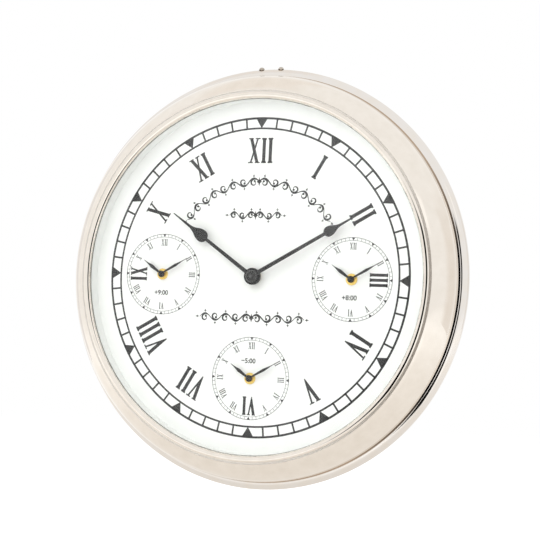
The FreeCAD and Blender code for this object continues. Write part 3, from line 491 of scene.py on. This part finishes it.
def glyph_x(height, weight):
    """Thick stroke falling to the right, crossed by a thin one."""
    thick, thin = STROKE_SHARE * weight * height, THIN_SHARE * weight * height
    lip, spread, serif = LIP_SHARE * height, SPREAD_SHARE * height, SERIF_SHARE * height

    def edge(stroke, side, down, falling):
        """A point on the edge of a stroke, at a share of the way down."""
        centre = (2 * down - 1) * spread * (1 if falling else -1)
        return centre + side * stroke / 2, height * (1 - down)

    cut = lip / height
    even, odd = (thick + thin) / (8 * spread), (thick - thin) / (8 * spread)

    def slab_serif(middle, side, root, end):
        """The corners of a serif at the end of a stroke."""
        return [(middle - side * serif, root), (middle - side * serif, end),
                (middle + side * serif, end), (middle + side * serif, root)]

    upper_left = slab_serif(-spread, 1, height - lip, height)
    upper_right = slab_serif(spread, 1, height - lip, height)
    lower_right = slab_serif(spread, -1, lip, 0)
    lower_left = slab_serif(-spread, -1, lip, 0)
    return ([edge(thick, -1, cut, True)] + upper_left
            + [edge(thick, 1, cut, True), edge(thick, 1, 0.5 - even, True), edge(thin, -1, cut, False)]
            + upper_right
            + [edge(thin, 1, cut, False), edge(thick, 1, 0.5 - odd, True), edge(thick, 1, 1 - cut, True)]
            + lower_right
            + [edge(thick, -1, 1 - cut, True), edge(thick, -1, 0.5 + even, True),
               edge(thin, 1, 1 - cut, False)]
            + lower_left
            + [edge(thin, -1, 1 - cut, False), edge(thick, -1, 0.5 + odd, True)]), spread + serif


GLYPHS = {"I": glyph_i, "V": glyph_v, "X": glyph_x}


def print_numeral(bm, text, angle, foot, height, weight, centre=(0, 0)):
    """A Roman numeral with its foot towards a centre."""
    drawn = [GLYPHS[letter](height, weight) for letter in text]
    gap = GAP_SHARE * height
    width = sum(2 * half for outline, half in drawn) + gap * (len(drawn) - 1)
    across = -width / 2
    for outline, half in drawn:
        print_patch(bm, [round_dial(angle, foot + up, centre, across + half + x) for x, up in outline])
        across += 2 * half + gap


def screen_ink(name, base):
    """Black screen ink: a thin matt film that covers almost evenly."""
    material, tree, output, place = new_material(name)
    COVER = 2 * MM
    cover = add(tree, "ShaderNodeTexNoise", {"Vector": place, "Scale": 1 / COVER, "Detail": 4})
    tone = add(tree, "ShaderNodeMix", {
        0: cover.outputs["Fac"], 6: linear(base), 7: linear("232322")}, data_type="RGBA")
    shader = add(tree, "ShaderNodeBsdfPrincipled", {"Base Color": tone.outputs[2], "Roughness": 0.6})
    tree.links.new(shader.outputs["BSDF"], output.inputs["Surface"])
    return material


ink = screen_ink("screen_ink_black", "151514")
track = bmesh.new()
print_track(track, TRACK_OUTER, TRACK_OUTER_LINE, TRACK_INNER, TRACK_INNER_LINE, MINUTE_LINE, HOUR_MARK)
finish_mesh(track, "minute_track_print", ink, "case")
numerals = bmesh.new()
for hour, text in NUMERALS.items():
    if hour in INSET_HOURS:
        foot, height, weight = INSET_FOOT, INSET_HEIGHT, INSET_WEIGHT
    else:
        foot, height, weight = NUMERAL_FOOT, NUMERAL_HEIGHT, NUMERAL_WEIGHT
    print_numeral(numerals, text, HOUR_ANGLE * hour, foot, height, weight)
finish_mesh(numerals, "hour_numerals_print", ink, "case")

# Dial print, small displays: a fine double circle with sixty ticks, a triangle for each hour and small
# Roman numerals, but for the one that would fall on a large numeral.
RAIL_OUTER, RAIL_OUTER_LINE = 44.0, 0.5
RAIL_INNER, RAIL_INNER_LINE = 40.9, 0.4
TICK_LINE = 0.35
SMALL_MARK = 3.8
SMALL_STEPS = 180
SMALL_FOOT, SMALL_HEIGHT, SMALL_WEIGHT = 31.4, 7.2, 0.9
for name, centre in SMALL_DIALS.items():
    small = bmesh.new()
    print_track(small, RAIL_OUTER, RAIL_OUTER_LINE, RAIL_INNER, RAIL_INNER_LINE, TICK_LINE, SMALL_MARK,
                centre, SMALL_STEPS)
    for hour, text in NUMERALS.items():
        if INSET_HOURS.get(hour) != name:
            print_numeral(small, text, HOUR_ANGLE * hour, SMALL_FOOT, SMALL_HEIGHT, SMALL_WEIGHT, centre)
    finish_mesh(small, f"{name}_display_print", ink, "case")

# Dial ornament: in three places between the displays a printed vine runs out both ways from a lozenge.
# Its stem waves along a line, and each hollow of the wave holds a tapering tendril with a ball at its end.
STEM_LINE, TENDRIL_LINE, TIP_LINE, BALL = 1.5, 1.9, 0.7, 1.25
ARC_RADIUS = 102.5
STEM_STEPS, TENDRIL_STEPS = 18, 34
# Where a tendril starts, as shares of a half wave and of the rise, and its length as a share of the wave
TENDRIL_ALONG, TENDRIL_UP, TENDRIL_REACH = 0.1, 0.3, 0.9
# Its curl at the start and what it gains to the tip, and how soon its line is thin again
CURL_START, CURL_GAIN, TAPER = 0.8, 2.6, 1.15
# Lozenges: half width and half height, and the gap before those on the crests and at the ends
MIDDLE_MARK, CREST_MARK, END_MARK = (3.2, 5.0), (1.5, 2.0), (2.6, 1.5)
CREST_GAP, END_GAP, HOLLOW = 2.4, 3.2, 0.3
# Half length, wave length and rise of each vine, and the middles of the straight ones
UPPER_VINE = (96.0, 24.0, 4.0)
MIDDLE_VINE = (30.0, 20.0, 4.0)
LOWER_VINE = (60.0, 24.0, 4.0)
MIDDLE_PLACE, LOWER_PLACE = (-2.5, 66.0), (-2.0, -44.5)


def on_arc(along, up):
    """A point of the upper ornament, from mm along its arc and mm outwards."""
    return round_dial(math.degrees(along / ARC_RADIUS), ARC_RADIUS + up)


def on_line(middle, height):
    """Where a straight ornament's points fall, from mm right of its middle and mm above its line."""
    return lambda along, up: (middle + along, height + up)


def print_disc(bm, place, along, up, radius, steps=20):
    """A round dot of ink."""
    print_patch(bm, [place(along + radius * math.sin(2 * math.pi * step / steps),
                           up + radius * math.cos(2 * math.pi * step / steps)) for step in range(steps)])


def print_lozenge(bm, place, along, up, half_width, half_height):
    """A lozenge of ink with hollow sides."""
    corners = [(0, half_height), (half_width, 0), (0, -half_height), (-half_width, 0)]
    points = []
    for (x1, z1), (x2, z2) in zip(corners, corners[1:] + corners[:1]):
        points += [(x1, z1), ((x1 + x2) * HOLLOW, (z1 + z2) * HOLLOW)]
    print_patch(bm, [place(along + x, up + z) for x, z in points])


def print_stroke(bm, place, points, widths):
    """A line of ink along points of the ornament, with its width at each."""
    left, right = [], []
    for index, (along, up) in enumerate(points):
        before, after = points[max(index - 1, 0)], points[min(index + 1, len(points) - 1)]
        step = Vector((after[0] - before[0], after[1] - before[1])).normalized() * widths[index] / 2
        left.append(place(along - step.y, up + step.x))
        right.append(place(along + step.y, up - step.x))
    print_ribbon(bm, left, right)


def print_vine(bm, place, half_length, wave, rise, side):
    """Half of an ornament: a stem that waves away from the middle, with a tendril in each hollow."""
    halves = int(half_length / (wave / 2))
    stem = [(side * wave / 2 * step / STEM_STEPS, rise * math.sin(math.pi * step / STEM_STEPS))
            for step in range(halves * STEM_STEPS + 1)]
    print_stroke(bm, place, stem, [STEM_LINE - (STEM_LINE - TIP_LINE) * step / len(stem)
                                   for step in range(len(stem))])
    for half in range(halves):
        top = 1 if half % 2 == 0 else -1
        along, up = side * wave / 2 * (half + TENDRIL_ALONG), top * rise * TENDRIL_UP
        heading = math.atan2(top * rise * math.pi, wave / 2 * side)
        points, widths = [(along, up)], [TIP_LINE]
        stride = wave * TENDRIL_REACH / TENDRIL_STEPS
        for step in range(1, TENDRIL_STEPS):
            share = step / TENDRIL_STEPS
            heading -= side * top * (CURL_START + CURL_GAIN * share) * math.pi / TENDRIL_STEPS
            along += math.cos(heading) * stride
            up += math.sin(heading) * stride
            points.append((along, up))
            swell = math.sin(math.pi * min(share * TAPER, 1))
            widths.append(TIP_LINE + (TENDRIL_LINE - TIP_LINE) * swell)
        print_stroke(bm, place, points, widths)
        print_disc(bm, place, along, up, BALL)
        crest = side * wave / 2 * (half + 0.5)
        print_lozenge(bm, place, crest, top * (rise + CREST_GAP), *CREST_MARK)
    end = side * (wave / 2 * halves + END_GAP)
    print_lozenge(bm, place, end, 0, *END_MARK)


for name, place, form in (
        ("upper", on_arc, UPPER_VINE),
        ("middle", on_line(*MIDDLE_PLACE), MIDDLE_VINE),
        ("lower", on_line(*LOWER_PLACE), LOWER_VINE)):
    vine = bmesh.new()
    print_lozenge(vine, place, 0, 0, *MIDDLE_MARK)
    for side in (-1, 1):
        print_vine(vine, place, *form, side)
    finish_mesh(vine, f"{name}_vine_print", ink, "case")

# Zone figures: each small display carries its offset from universal time in hours. The figures are plain,
# a little thickened, and printed in the same ink in the free part of the display.
FIGURE_HEIGHT, FIGURE_WEIGHT = 7.2, 0.16
OFFSETS = {"left": ("+9:00", (-110.0, -20.5)), "right": ("+8:00", (107.0, -19.5)),
           "lower": ("\u22125:00", (-3.0, -90.5))}
for name, (figures, (x, z)) in OFFSETS.items():
    type_face = bpy.data.curves.new(f"{name}_zone", "FONT")
    type_face.body = figures
    type_face.size = FIGURE_HEIGHT * MM
    type_face.offset = FIGURE_WEIGHT * MM
    type_face.align_x, type_face.align_y = "CENTER", "CENTER"
    type_face.extrude = INK_FILM / 2 * MM
    type_face.resolution_u = 4
    pattern = bpy.data.objects.new(f"{name}_zone", type_face)
    mesh = bpy.data.meshes.new_from_object(pattern)
    bpy.data.objects.remove(pattern)
    upright = Matrix.Rotation(math.pi / 2, 4, "X")
    mesh.transform(Matrix.Translation(spot(x, z, FACE + INK_FILM / 2)) @ upright)
    mesh.materials.clear()
    mesh.materials.append(ink)
    figure_print = bpy.data.objects.new(f"{name}_zone_print", mesh)
    bpy.context.scene.collection.objects.link(figure_print)
    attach(figure_print, "case")

# Movements: black moulded housings with their covers, brass bushes and nuts, white acetal wheels, a cell
# and its spring contacts.


def moulded_plastic(name, base, roughness):
    """Injection moulding from a spark-eroded tool: a fine even grain."""
    material, tree, output, place = new_material(name)
    GRAIN = 0.35 * MM
    FLOW = 18 * MM
    grain = add(tree, "ShaderNodeTexNoise", {"Vector": place, "Scale": 1 / GRAIN, "Detail": 4})
    flow = add(tree, "ShaderNodeTexNoise", {"Vector": place, "Scale": 1 / FLOW, "Detail": 2})
    haze = add(tree, "ShaderNodeMapRange", {
        "Value": flow.outputs["Fac"], "To Min": roughness - 0.06, "To Max": roughness + 0.1})
    tone = add(tree, "ShaderNodeHueSaturation", {"Color": linear(base), "Value": flow.outputs["Fac"]})
    relief = add(tree, "ShaderNodeBump", {
        "Height": grain.outputs["Fac"], "Strength": 0.25, "Distance": 0.04 * MM})
    shader = add(tree, "ShaderNodeBsdfPrincipled", {
        "Base Color": tone.outputs["Color"], "Roughness": haze.outputs["Result"],
        "Normal": relief.outputs["Normal"]})
    tree.links.new(shader.outputs["BSDF"], output.inputs["Surface"])
    return material


def turned_brass(name):
    """Free-cutting brass from a lathe: warm, with fine streaks in tone and gloss."""
    material, tree, output, place = new_material(name)
    STREAK = 0.6 * MM
    marks = add(tree, "ShaderNodeTexNoise", {"Vector": place, "Scale": 1 / STREAK, "Detail": 3})
    tone = add(tree, "ShaderNodeMix", {
        0: marks.outputs["Fac"], 6: linear("DDB544"), 7: linear("F3DA8A")}, data_type="RGBA")
    haze = add(tree, "ShaderNodeMapRange", {"Value": marks.outputs["Fac"], "To Min": 0.2, "To Max": 0.42})
    shader = add(tree, "ShaderNodeBsdfPrincipled", {
        "Base Color": tone.outputs[2], "Metallic": 1.0, "Roughness": haze.outputs["Result"]})
    tree.links.new(shader.outputs["BSDF"], output.inputs["Surface"])
    return material


def satin_enamel(name, base, gloss):
    """Sprayed satin enamel on thin steel: even, with a slight orange peel."""
    material, tree, output, place = new_material(name)
    PEEL = 1.6 * MM
    peel = add(tree, "ShaderNodeTexNoise", {"Vector": place, "Scale": 1 / PEEL, "Detail": 2})
    tone = add(tree, "ShaderNodeMix", {
        0: peel.outputs["Fac"], 6: linear(base), 7: linear("1B1C1A")}, data_type="RGBA")
    haze = add(tree, "ShaderNodeMapRange", {"Value": peel.outputs["Fac"], "To Min": 0.26, "To Max": 0.4})
    relief = add(tree, "ShaderNodeBump", {
        "Height": peel.outputs["Fac"], "Strength": 0.02, "Distance": 0.03 * MM})
    shader = add(tree, "ShaderNodeBsdfPrincipled", {
        "Base Color": tone.outputs[2], "Roughness": haze.outputs["Result"], "Specular IOR Level": gloss,
        "Normal": relief.outputs["Normal"]})
    tree.links.new(shader.outputs["BSDF"], output.inputs["Surface"])
    return material


MOVEMENTS = ("main", *SMALL_DIALS)
abs_black = moulded_plastic("abs_moulded_black", "2E2E31", 0.42)
acetal = moulded_plastic("acetal_moulded_white", "F4F2EC", 0.36)
sleeve = moulded_plastic("pvc_sleeve_green", "3F8A72", 0.25)
brass = turned_brass("brass_turned")
hand_paint = satin_enamel("satin_enamel_black", "10100F", 0.3)
dress("threaded_bushes", brass)
dress("dial_nuts", brass)
for movement in MOVEMENTS:
    for piece in ("movement_case", "movement_front"):
        dress(f"{movement}_{piece}", abs_black)
    for piece in ("minute_arbor", "hour_wheel", "set_wheel"):
        dress(f"{movement}_{piece}", acetal)
    dress(f"{movement}_battery", sleeve)
    dress(f"{movement}_battery_contacts", zinc)
    for piece in ("hour_hand", "minute_hand", "hand_nut"):
        dress(f"{movement}_{piece}", hand_paint)

# Caps of the hands: the large hub has a raised ring round a small crown, both painted lighter grey as a
# painted highlight. The hour hand's boss below it is painted a darker black as painted shade, which shows
# as a crescent on the right. Each small nut has a rounded crown too.
# Darker black than the hand paint, with little gloss: painted shade on the hour hand's boss.
shadow_paint = satin_enamel("satin_enamel_black_painted_shade", "020202", 0.05)
# Lighter grey than the hand paint: a painted highlight on the raised ring and the large crown.
ring_painted_highlight = satin_enamel("satin_enamel_painted_highlight", "4A4B47", 0.8)
BOSS_RADIUS, BOSS_BACK, BOSS_FRONT, BOSS_EDGE, BOSS_INSIDE = 8.9, 29.5, 33.5, 0.2, 0.3
CAP_RADIUS, CAP_LAP, CAP_RING, FILM = 7.0, 0.4, 5.9, 0.06
HUB_STEPS, NUT_STEPS = 96, 64
# Across the raised ring: step from its radius, and rise over the foot of the nut
RING_PROFILE = [(0.6, -0.1), (0.4, 0.3), (0, 0.4), (-0.3, 0.3), (-0.4, -0.1)]
# From the middle of a crown: share of the nut's radius, and rise over its top
CROWN_PROFILE = [(0, 0.45), (0.4, 0.35), (0.75, -0.05), (0.7, -0.3), (0, -0.3)]
boss = [(CAP_RADIUS - CAP_LAP, BOSS_FRONT), (CAP_RADIUS - CAP_LAP, BOSS_FRONT + FILM),
        (BOSS_RADIUS - BOSS_EDGE, BOSS_FRONT + FILM), (BOSS_RADIUS + FILM, BOSS_FRONT - BOSS_EDGE),
        (BOSS_RADIUS + FILM, BOSS_BACK), (BOSS_RADIUS - FILM, BOSS_BACK),
        (BOSS_RADIUS - FILM, BOSS_FRONT - BOSS_INSIDE)]


def axis_of(node):
    """The point of the wall plane behind the middle of a round node."""
    low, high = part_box(node)
    return Vector(((low.x + high.x) / 2, 0, (low.z + high.z) / 2))


for movement in MOVEMENTS:
    low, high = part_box(f"{movement}_hand_nut")
    centre = axis_of(f"{movement}_hand_nut")
    nut, foot, top = (high.x - low.x) / 2 / MM, -high.y / MM, -low.y / MM
    if movement == "main":
        turned("main_boss_painted_shade", boss, shadow_paint, centre, "main_hour", HUB_STEPS)
        turned("main_cap_ring", [(CAP_RING + step, foot + rise) for step, rise in RING_PROFILE],
               ring_painted_highlight, centre, "main_minute", HUB_STEPS)
    turned(f"{movement}_nut_crown", [(nut * share, top + rise) for share, rise in CROWN_PROFILE],
           ring_painted_highlight if movement == "main" else hand_paint, centre,
           f"{movement}_minute", NUT_STEPS)

# Backs of the movements: the setting knob has a fluted grip and a raised ring, and the moulding round it
# has a two-way arrow, a frame and the signs for the cell's ends. The cell has a printed band and a bare
# steel end.
KNOB_BACK, KNOB_FRONT, KNOB_RADIUS, KNOB_EDGE, KNOB_SKIN = 1.2, 4.2, 6.1, 0.3, 0.6
FLUTES, FLUTE_STEPS, FLUTE_RISE, FLUTE_FLOOR = 28, 4, 0.35, 0.02
# Across the knob's ring: radius, and depth past the knob's back
KNOB_RING = [(4.4, 0.1), (4.3, -0.35), (3.7, -0.35), (3.6, 0.1)]
HOUSING_BACK, MARK_ROOT, MARK_RISE = 4.5, 0.1, 0.35
ARROW_RADIUS, ARROW_LINE, ARROW_HEAD = 9.4, 0.9, 1.4
# Clock angles of the arrow's line, and of the foot and tip of its heads
ARROW_END, HEAD_FOOT, HEAD_TIP = 62, 61, 76
# Bars on both sides of an arbor and those that make its plus sign: place, width and height
FRAME_BARS = [(23.5, -8.6, 3.6, 0.8), (15, 20.6, 9.0, 0.8), (19.9, 14.0, 0.8, 12.4)]
PLUS_BARS = [(23.5, -7.4, 0.8, 1.6), (23.5, -9.8, 0.8, 1.6)]
CELL_RADIUS, CELL_ROOT, CELL_STEPS = 7.25, 0.2, 96
# Start and end before the cell's right end, and rise over the sleeve
CELL_BAND, CELL_CAN = (17.5, 6.5, 0.03), (1.9, 0.9, 0.06)


def arc_strip(radius, line, start, end, steps=24):
    """The outline of a strip along an arc between two clock angles."""
    angles = [start + (end - start) * step / steps for step in range(steps + 1)]
    return ([round_dial(angle, radius + line / 2) for angle in angles]
            + [round_dial(angle, radius - line / 2) for angle in reversed(angles)])


def bar(x, z, width, height):
    """The outline of an upright rectangle round its middle."""
    return [(x - width / 2, z - height / 2), (x + width / 2, z - height / 2),
            (x + width / 2, z + height / 2), (x - width / 2, z + height / 2)]


def knob_grip(movement, knob):
    """The fluted skin of a setting knob."""
    around = FLUTES * FLUTE_STEPS
    flutes = [FLUTE_RISE if step % FLUTE_STEPS < FLUTE_STEPS / 2 else FLUTE_FLOOR for step in range(around)]
    outlines = [(depth, [KNOB_RADIUS - inset + flute for flute in flutes])
                for depth, inset in ((KNOB_FRONT, 0), (KNOB_BACK + KNOB_EDGE, 0), (KNOB_BACK, KNOB_EDGE))]
    outlines += [(depth, [KNOB_RADIUS - KNOB_SKIN] * around) for depth in (KNOB_BACK, KNOB_FRONT)]
    bm = bmesh.new()
    rings = []
    for depth, radii in outlines:
        points = [round_dial(360 * step / around, radius) for step, radius in enumerate(radii)]
        rings.append([bm.verts.new(spot(x, z, depth, knob)) for x, z in points])
    skin(bm, rings)
    finish_mesh(bm, f"{movement}_knob_grip", acetal, f"{movement}_set")


def housing_marks(movement, knob, arbor):
    """The raised arrow round a knob, the frame, and the signs for the cell's ends."""
    bm = bmesh.new()
    root, crest = HOUSING_BACK + MARK_ROOT, HOUSING_BACK - MARK_RISE
    slab(bm, knob, arc_strip(ARROW_RADIUS, ARROW_LINE, -ARROW_END, ARROW_END), root, crest)
    for side in (-1, 1):
        head = [round_dial(side * HEAD_FOOT, ARROW_RADIUS - ARROW_HEAD),
                round_dial(side * HEAD_FOOT, ARROW_RADIUS + ARROW_HEAD),
                round_dial(side * HEAD_TIP, ARROW_RADIUS)]
        slab(bm, knob, head, root, crest)
        for x, z, width, height in FRAME_BARS:
            slab(bm, arbor, bar(side * x, z, width, height), root, crest)
    for plus in PLUS_BARS:
        slab(bm, arbor, bar(*plus), root, crest)
    finish_mesh(bm, f"{movement}_housing_marks", abs_mark, "case")


def cell_ring(movement, name, start, end, rise, finish):
    """A band round a cell, between two distances from the cell's right end."""
    low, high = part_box(f"{movement}_battery")
    axle = Vector((0, (low.y + high.y) / 2, (low.z + high.z) / 2))
    start, end = high.x / MM - start, high.x / MM - end
    turns = [2 * math.pi * step / CELL_STEPS for step in range(CELL_STEPS)]
    bm = bmesh.new()
    rings = []
    for across, radius in ((start, CELL_RADIUS - CELL_ROOT), (start, CELL_RADIUS + rise),
                           (end, CELL_RADIUS + rise), (end, CELL_RADIUS - CELL_ROOT)):
        rings.append([bm.verts.new(
            axle + Vector((across, radius * math.sin(turn), radius * math.cos(turn))) * MM)
            for turn in turns])
    skin(bm, rings)
    finish_mesh(bm, f"{movement}_{name}", finish, "case")


band_ink = moulded_plastic("pvc_sleeve_print", "C9A24A", 0.3)
abs_mark = moulded_plastic("abs_moulded_black_mark", "6E6E74", 0.3)
can_steel = zinc_plate("nickel_plated_can")
for movement in MOVEMENTS:
    knob, arbor = axis_of(f"{movement}_set_wheel"), axis_of(f"{movement}_hand_nut")
    knob_grip(movement, knob)
    turned(f"{movement}_knob_ring", [(radius, KNOB_BACK + rise) for radius, rise in KNOB_RING],
           acetal, knob, f"{movement}_set", NUT_STEPS)
    housing_marks(movement, knob, arbor)
    cell_ring(movement, "cell_band", *CELL_BAND, band_ink)
    cell_ring(movement, "cell_can", *CELL_CAN, can_steel)

# Studio: a floor of white paper, an even white room, one large soft lamp, and cards round the clock that
# only polished metal mirrors. The camera stands to the right and a little below the clock's middle.
CAMERA_PLACE = Vector((541.64, -1383.74, -263.03)) * MM
CAMERA_AIM = Vector((16.83, -24.0, -192.29)) * MM
CAMERA_ROLL = 2.62
FOCAL_LENGTH, SENSOR_WIDTH, CLIP_START = 90.98, 36, 0.01
FLOOR_DROP, FLOOR_SIZE = 0.25, 40.0
SWEEP_START, SWEEP_END = 1.6, 5.0
LIFT_IN_SIGHT, LIFT_IN_METAL = 0.34, 0.12
ROOM_LIGHT = 0.95
LAMP_SIZE, LAMP_POWER, LAMP_PLACE = 3.0, 25, (-0.3, -2.5, 1.2)
# Middle, width and height in metres, colour, strength and softness of each card. The pale ones give the
# nickel its slow bands, the flag its dark line at the right, and the window a gleam high on the right.
CARDS = {
    "card_above": (Vector((-0.6, 0.1, 1.5)), 2.6, 1.2, "FAF7F4", 1.0, 0.25),
    "card_right": (Vector((1.7, 0.7, -0.1)), 2.4, 2.8, "F3EFEB", 1.0, 0.4),
    "card_below": (DIAL_AXIS - Vector((0, 0, 0.45)), 3.2, 3.2, "F2EEE9", 1.0, 0.5),
    "card_left": (Vector((-1.6, 0.55, -0.1)), 0.7, 2.2, "F0EFF1", 1.0, 0.4),
    "flag_black": (Vector((0.12, -0.3, -0.25)), 0.28, 0.36, "100E0D", 1.0, 0.12),
    "window_upper": (Vector((1.0, -1.35, 0.5)), 0.5, 0.5, "FFFFFF", 1.15, 0.3),
}


def flat_sheet(name, half_side, material):
    """A square sheet of the studio, in its own XY plane."""
    bm = bmesh.new()
    bmesh.ops.create_grid(bm, x_segments=1, y_segments=1, size=half_side)
    mesh = bpy.data.meshes.new(name)
    bm.to_mesh(mesh)
    bm.free()
    mesh.materials.append(material)
    sheet = bpy.data.objects.new(name, mesh)
    bpy.context.scene.collection.objects.link(sheet)
    return sheet


def reflector(name, centre, width, height, colour, strength, soft):
    """A sheet of tinted paper with soft edges that only polished surfaces see.

    soft is the share of the sheet's width over which each edge fades.
    """
    material, tree, output, place = new_material(name)
    paper = add(tree, "ShaderNodeEmission", {"Color": linear(colour), "Strength": strength})
    clear = add(tree, "ShaderNodeBsdfTransparent")
    sides = add(tree, "ShaderNodeSeparateXYZ", {0: add(tree, "ShaderNodeVectorMath", {
        0: place}, operation="ABSOLUTE").outputs["Vector"]})
    reach = add(tree, "ShaderNodeMath", {
        0: sides.outputs["X"], 1: sides.outputs["Y"]}, operation="MAXIMUM")
    fade = add(tree, "ShaderNodeMapRange", {
        "Value": reach.outputs["Value"], "From Min": 0.5 - soft, "From Max": 0.5},
        interpolation_type="SMOOTHSTEP")
    both = add(tree, "ShaderNodeMixShader", {
        0: fade.outputs["Result"], 1: paper.outputs["Emission"], 2: clear.outputs["BSDF"]})
    tree.links.new(both.outputs["Shader"], output.inputs["Surface"])
    card = flat_sheet(name, 0.5, material)
    card.location = centre
    card.rotation_euler = (DIAL_AXIS - card.location).to_track_quat("Z", "Y").to_euler()
    card.scale = (width, height, 1)
    card.visible_camera = card.visible_diffuse = card.visible_shadow = card.visible_transmission = False


camera = bpy.data.objects.new("camera", bpy.data.cameras.new("camera"))
bpy.context.scene.collection.objects.link(camera)
aim = (CAMERA_AIM - CAMERA_PLACE).to_track_quat("-Z", "Y").to_matrix().to_4x4()
roll = Matrix.Rotation(math.radians(CAMERA_ROLL), 4, "Z")
camera.matrix_world = Matrix.Translation(CAMERA_PLACE) @ aim @ roll
camera.data.lens = FOCAL_LENGTH
camera.data.sensor_width = SENSOR_WIDTH
camera.data.clip_start = CLIP_START
bpy.context.scene.camera = camera

world = bpy.data.worlds.new("white_room")
world.use_nodes = True
bpy.context.scene.world = world
tree = world.node_tree
tree.nodes.clear()
rays = add(tree, "ShaderNodeLightPath")
sight = add(tree, "ShaderNodeMath", {
    0: rays.outputs["Is Camera Ray"], 1: rays.outputs["Is Glossy Ray"]}, operation="MAXIMUM")
sight = add(tree, "ShaderNodeMath", {
    0: sight.outputs["Value"], 1: rays.outputs["Is Transmission Ray"]}, operation="MAXIMUM")
room = add(tree, "ShaderNodeBackground", {"Color": linear("FFFFFF"), "Strength": ROOM_LIGHT})
backdrop = add(tree, "ShaderNodeBackground", {"Color": linear("FFFFFF"), "Strength": 1.0})
both = add(tree, "ShaderNodeMixShader", {
    0: sight.outputs["Value"], 1: room.outputs["Background"], 2: backdrop.outputs["Background"]})
output = add(tree, "ShaderNodeOutputWorld")
tree.links.new(both.outputs["Shader"], output.inputs["Surface"])

FIBRE = 4 * MM
floor_material, tree, output, place = new_material("paper_floor_white")
fibre = add(tree, "ShaderNodeTexNoise", {"Vector": place, "Scale": 1 / FIBRE, "Detail": 4})
tone = add(tree, "ShaderNodeMix", {
    0: fibre.outputs["Fac"], 6: linear("FAFAF9"), 7: linear("FFFFFF")}, data_type="RGBA")
paper = add(tree, "ShaderNodeBsdfPrincipled", {"Base Color": tone.outputs[2], "Roughness": 0.9})
rays = add(tree, "ShaderNodeLightPath")
seen = add(tree, "ShaderNodeMath", {
    0: rays.outputs["Is Camera Ray"], 1: rays.outputs["Is Transmission Ray"]}, operation="MAXIMUM")
mirrored = add(tree, "ShaderNodeMath", {
    0: rays.outputs["Is Glossy Ray"], 1: LIFT_IN_METAL}, operation="MULTIPLY")
lift = add(tree, "ShaderNodeMath", {
    0: seen.outputs["Value"], 1: LIFT_IN_SIGHT, 2: mirrored.outputs["Value"]}, operation="MULTIPLY_ADD")
glow = add(tree, "ShaderNodeEmission", {"Color": linear("FFFFFF"), "Strength": lift.outputs["Value"]})
near = add(tree, "ShaderNodeAddShader", {0: paper.outputs["BSDF"], 1: glow.outputs["Emission"]})
far = add(tree, "ShaderNodeEmission", {"Color": linear("FFFFFF"), "Strength": 1.0})
reach = add(tree, "ShaderNodeVectorMath", {0: place}, operation="LENGTH")
away = add(tree, "ShaderNodeMapRange", {
    "Value": reach.outputs["Value"], "From Min": SWEEP_START, "From Max": SWEEP_END})
both = add(tree, "ShaderNodeMixShader", {
    0: away.outputs["Result"], 1: near.outputs["Shader"], 2: far.outputs["Emission"]})
tree.links.new(both.outputs["Shader"], output.inputs["Surface"])
floor = flat_sheet("floor", FLOOR_SIZE, floor_material)
floor.location.z = cad_box[0].z - FLOOR_DROP

lamp = bpy.data.objects.new("soft_lamp", bpy.data.lights.new("soft_lamp", "AREA"))
lamp.data.shape = "DISK"
lamp.data.size = LAMP_SIZE
lamp.data.energy = LAMP_POWER
lamp.location = LAMP_PLACE
lamp.visible_glossy = False
lamp.rotation_euler = (DIAL_AXIS - lamp.location).to_track_quat("-Z", "Y").to_euler()
bpy.context.scene.collection.objects.link(lamp)

for name, settings in CARDS.items():
    reflector(name, *settings)
bpy.context.scene.view_settings.view_transform = "Standard"
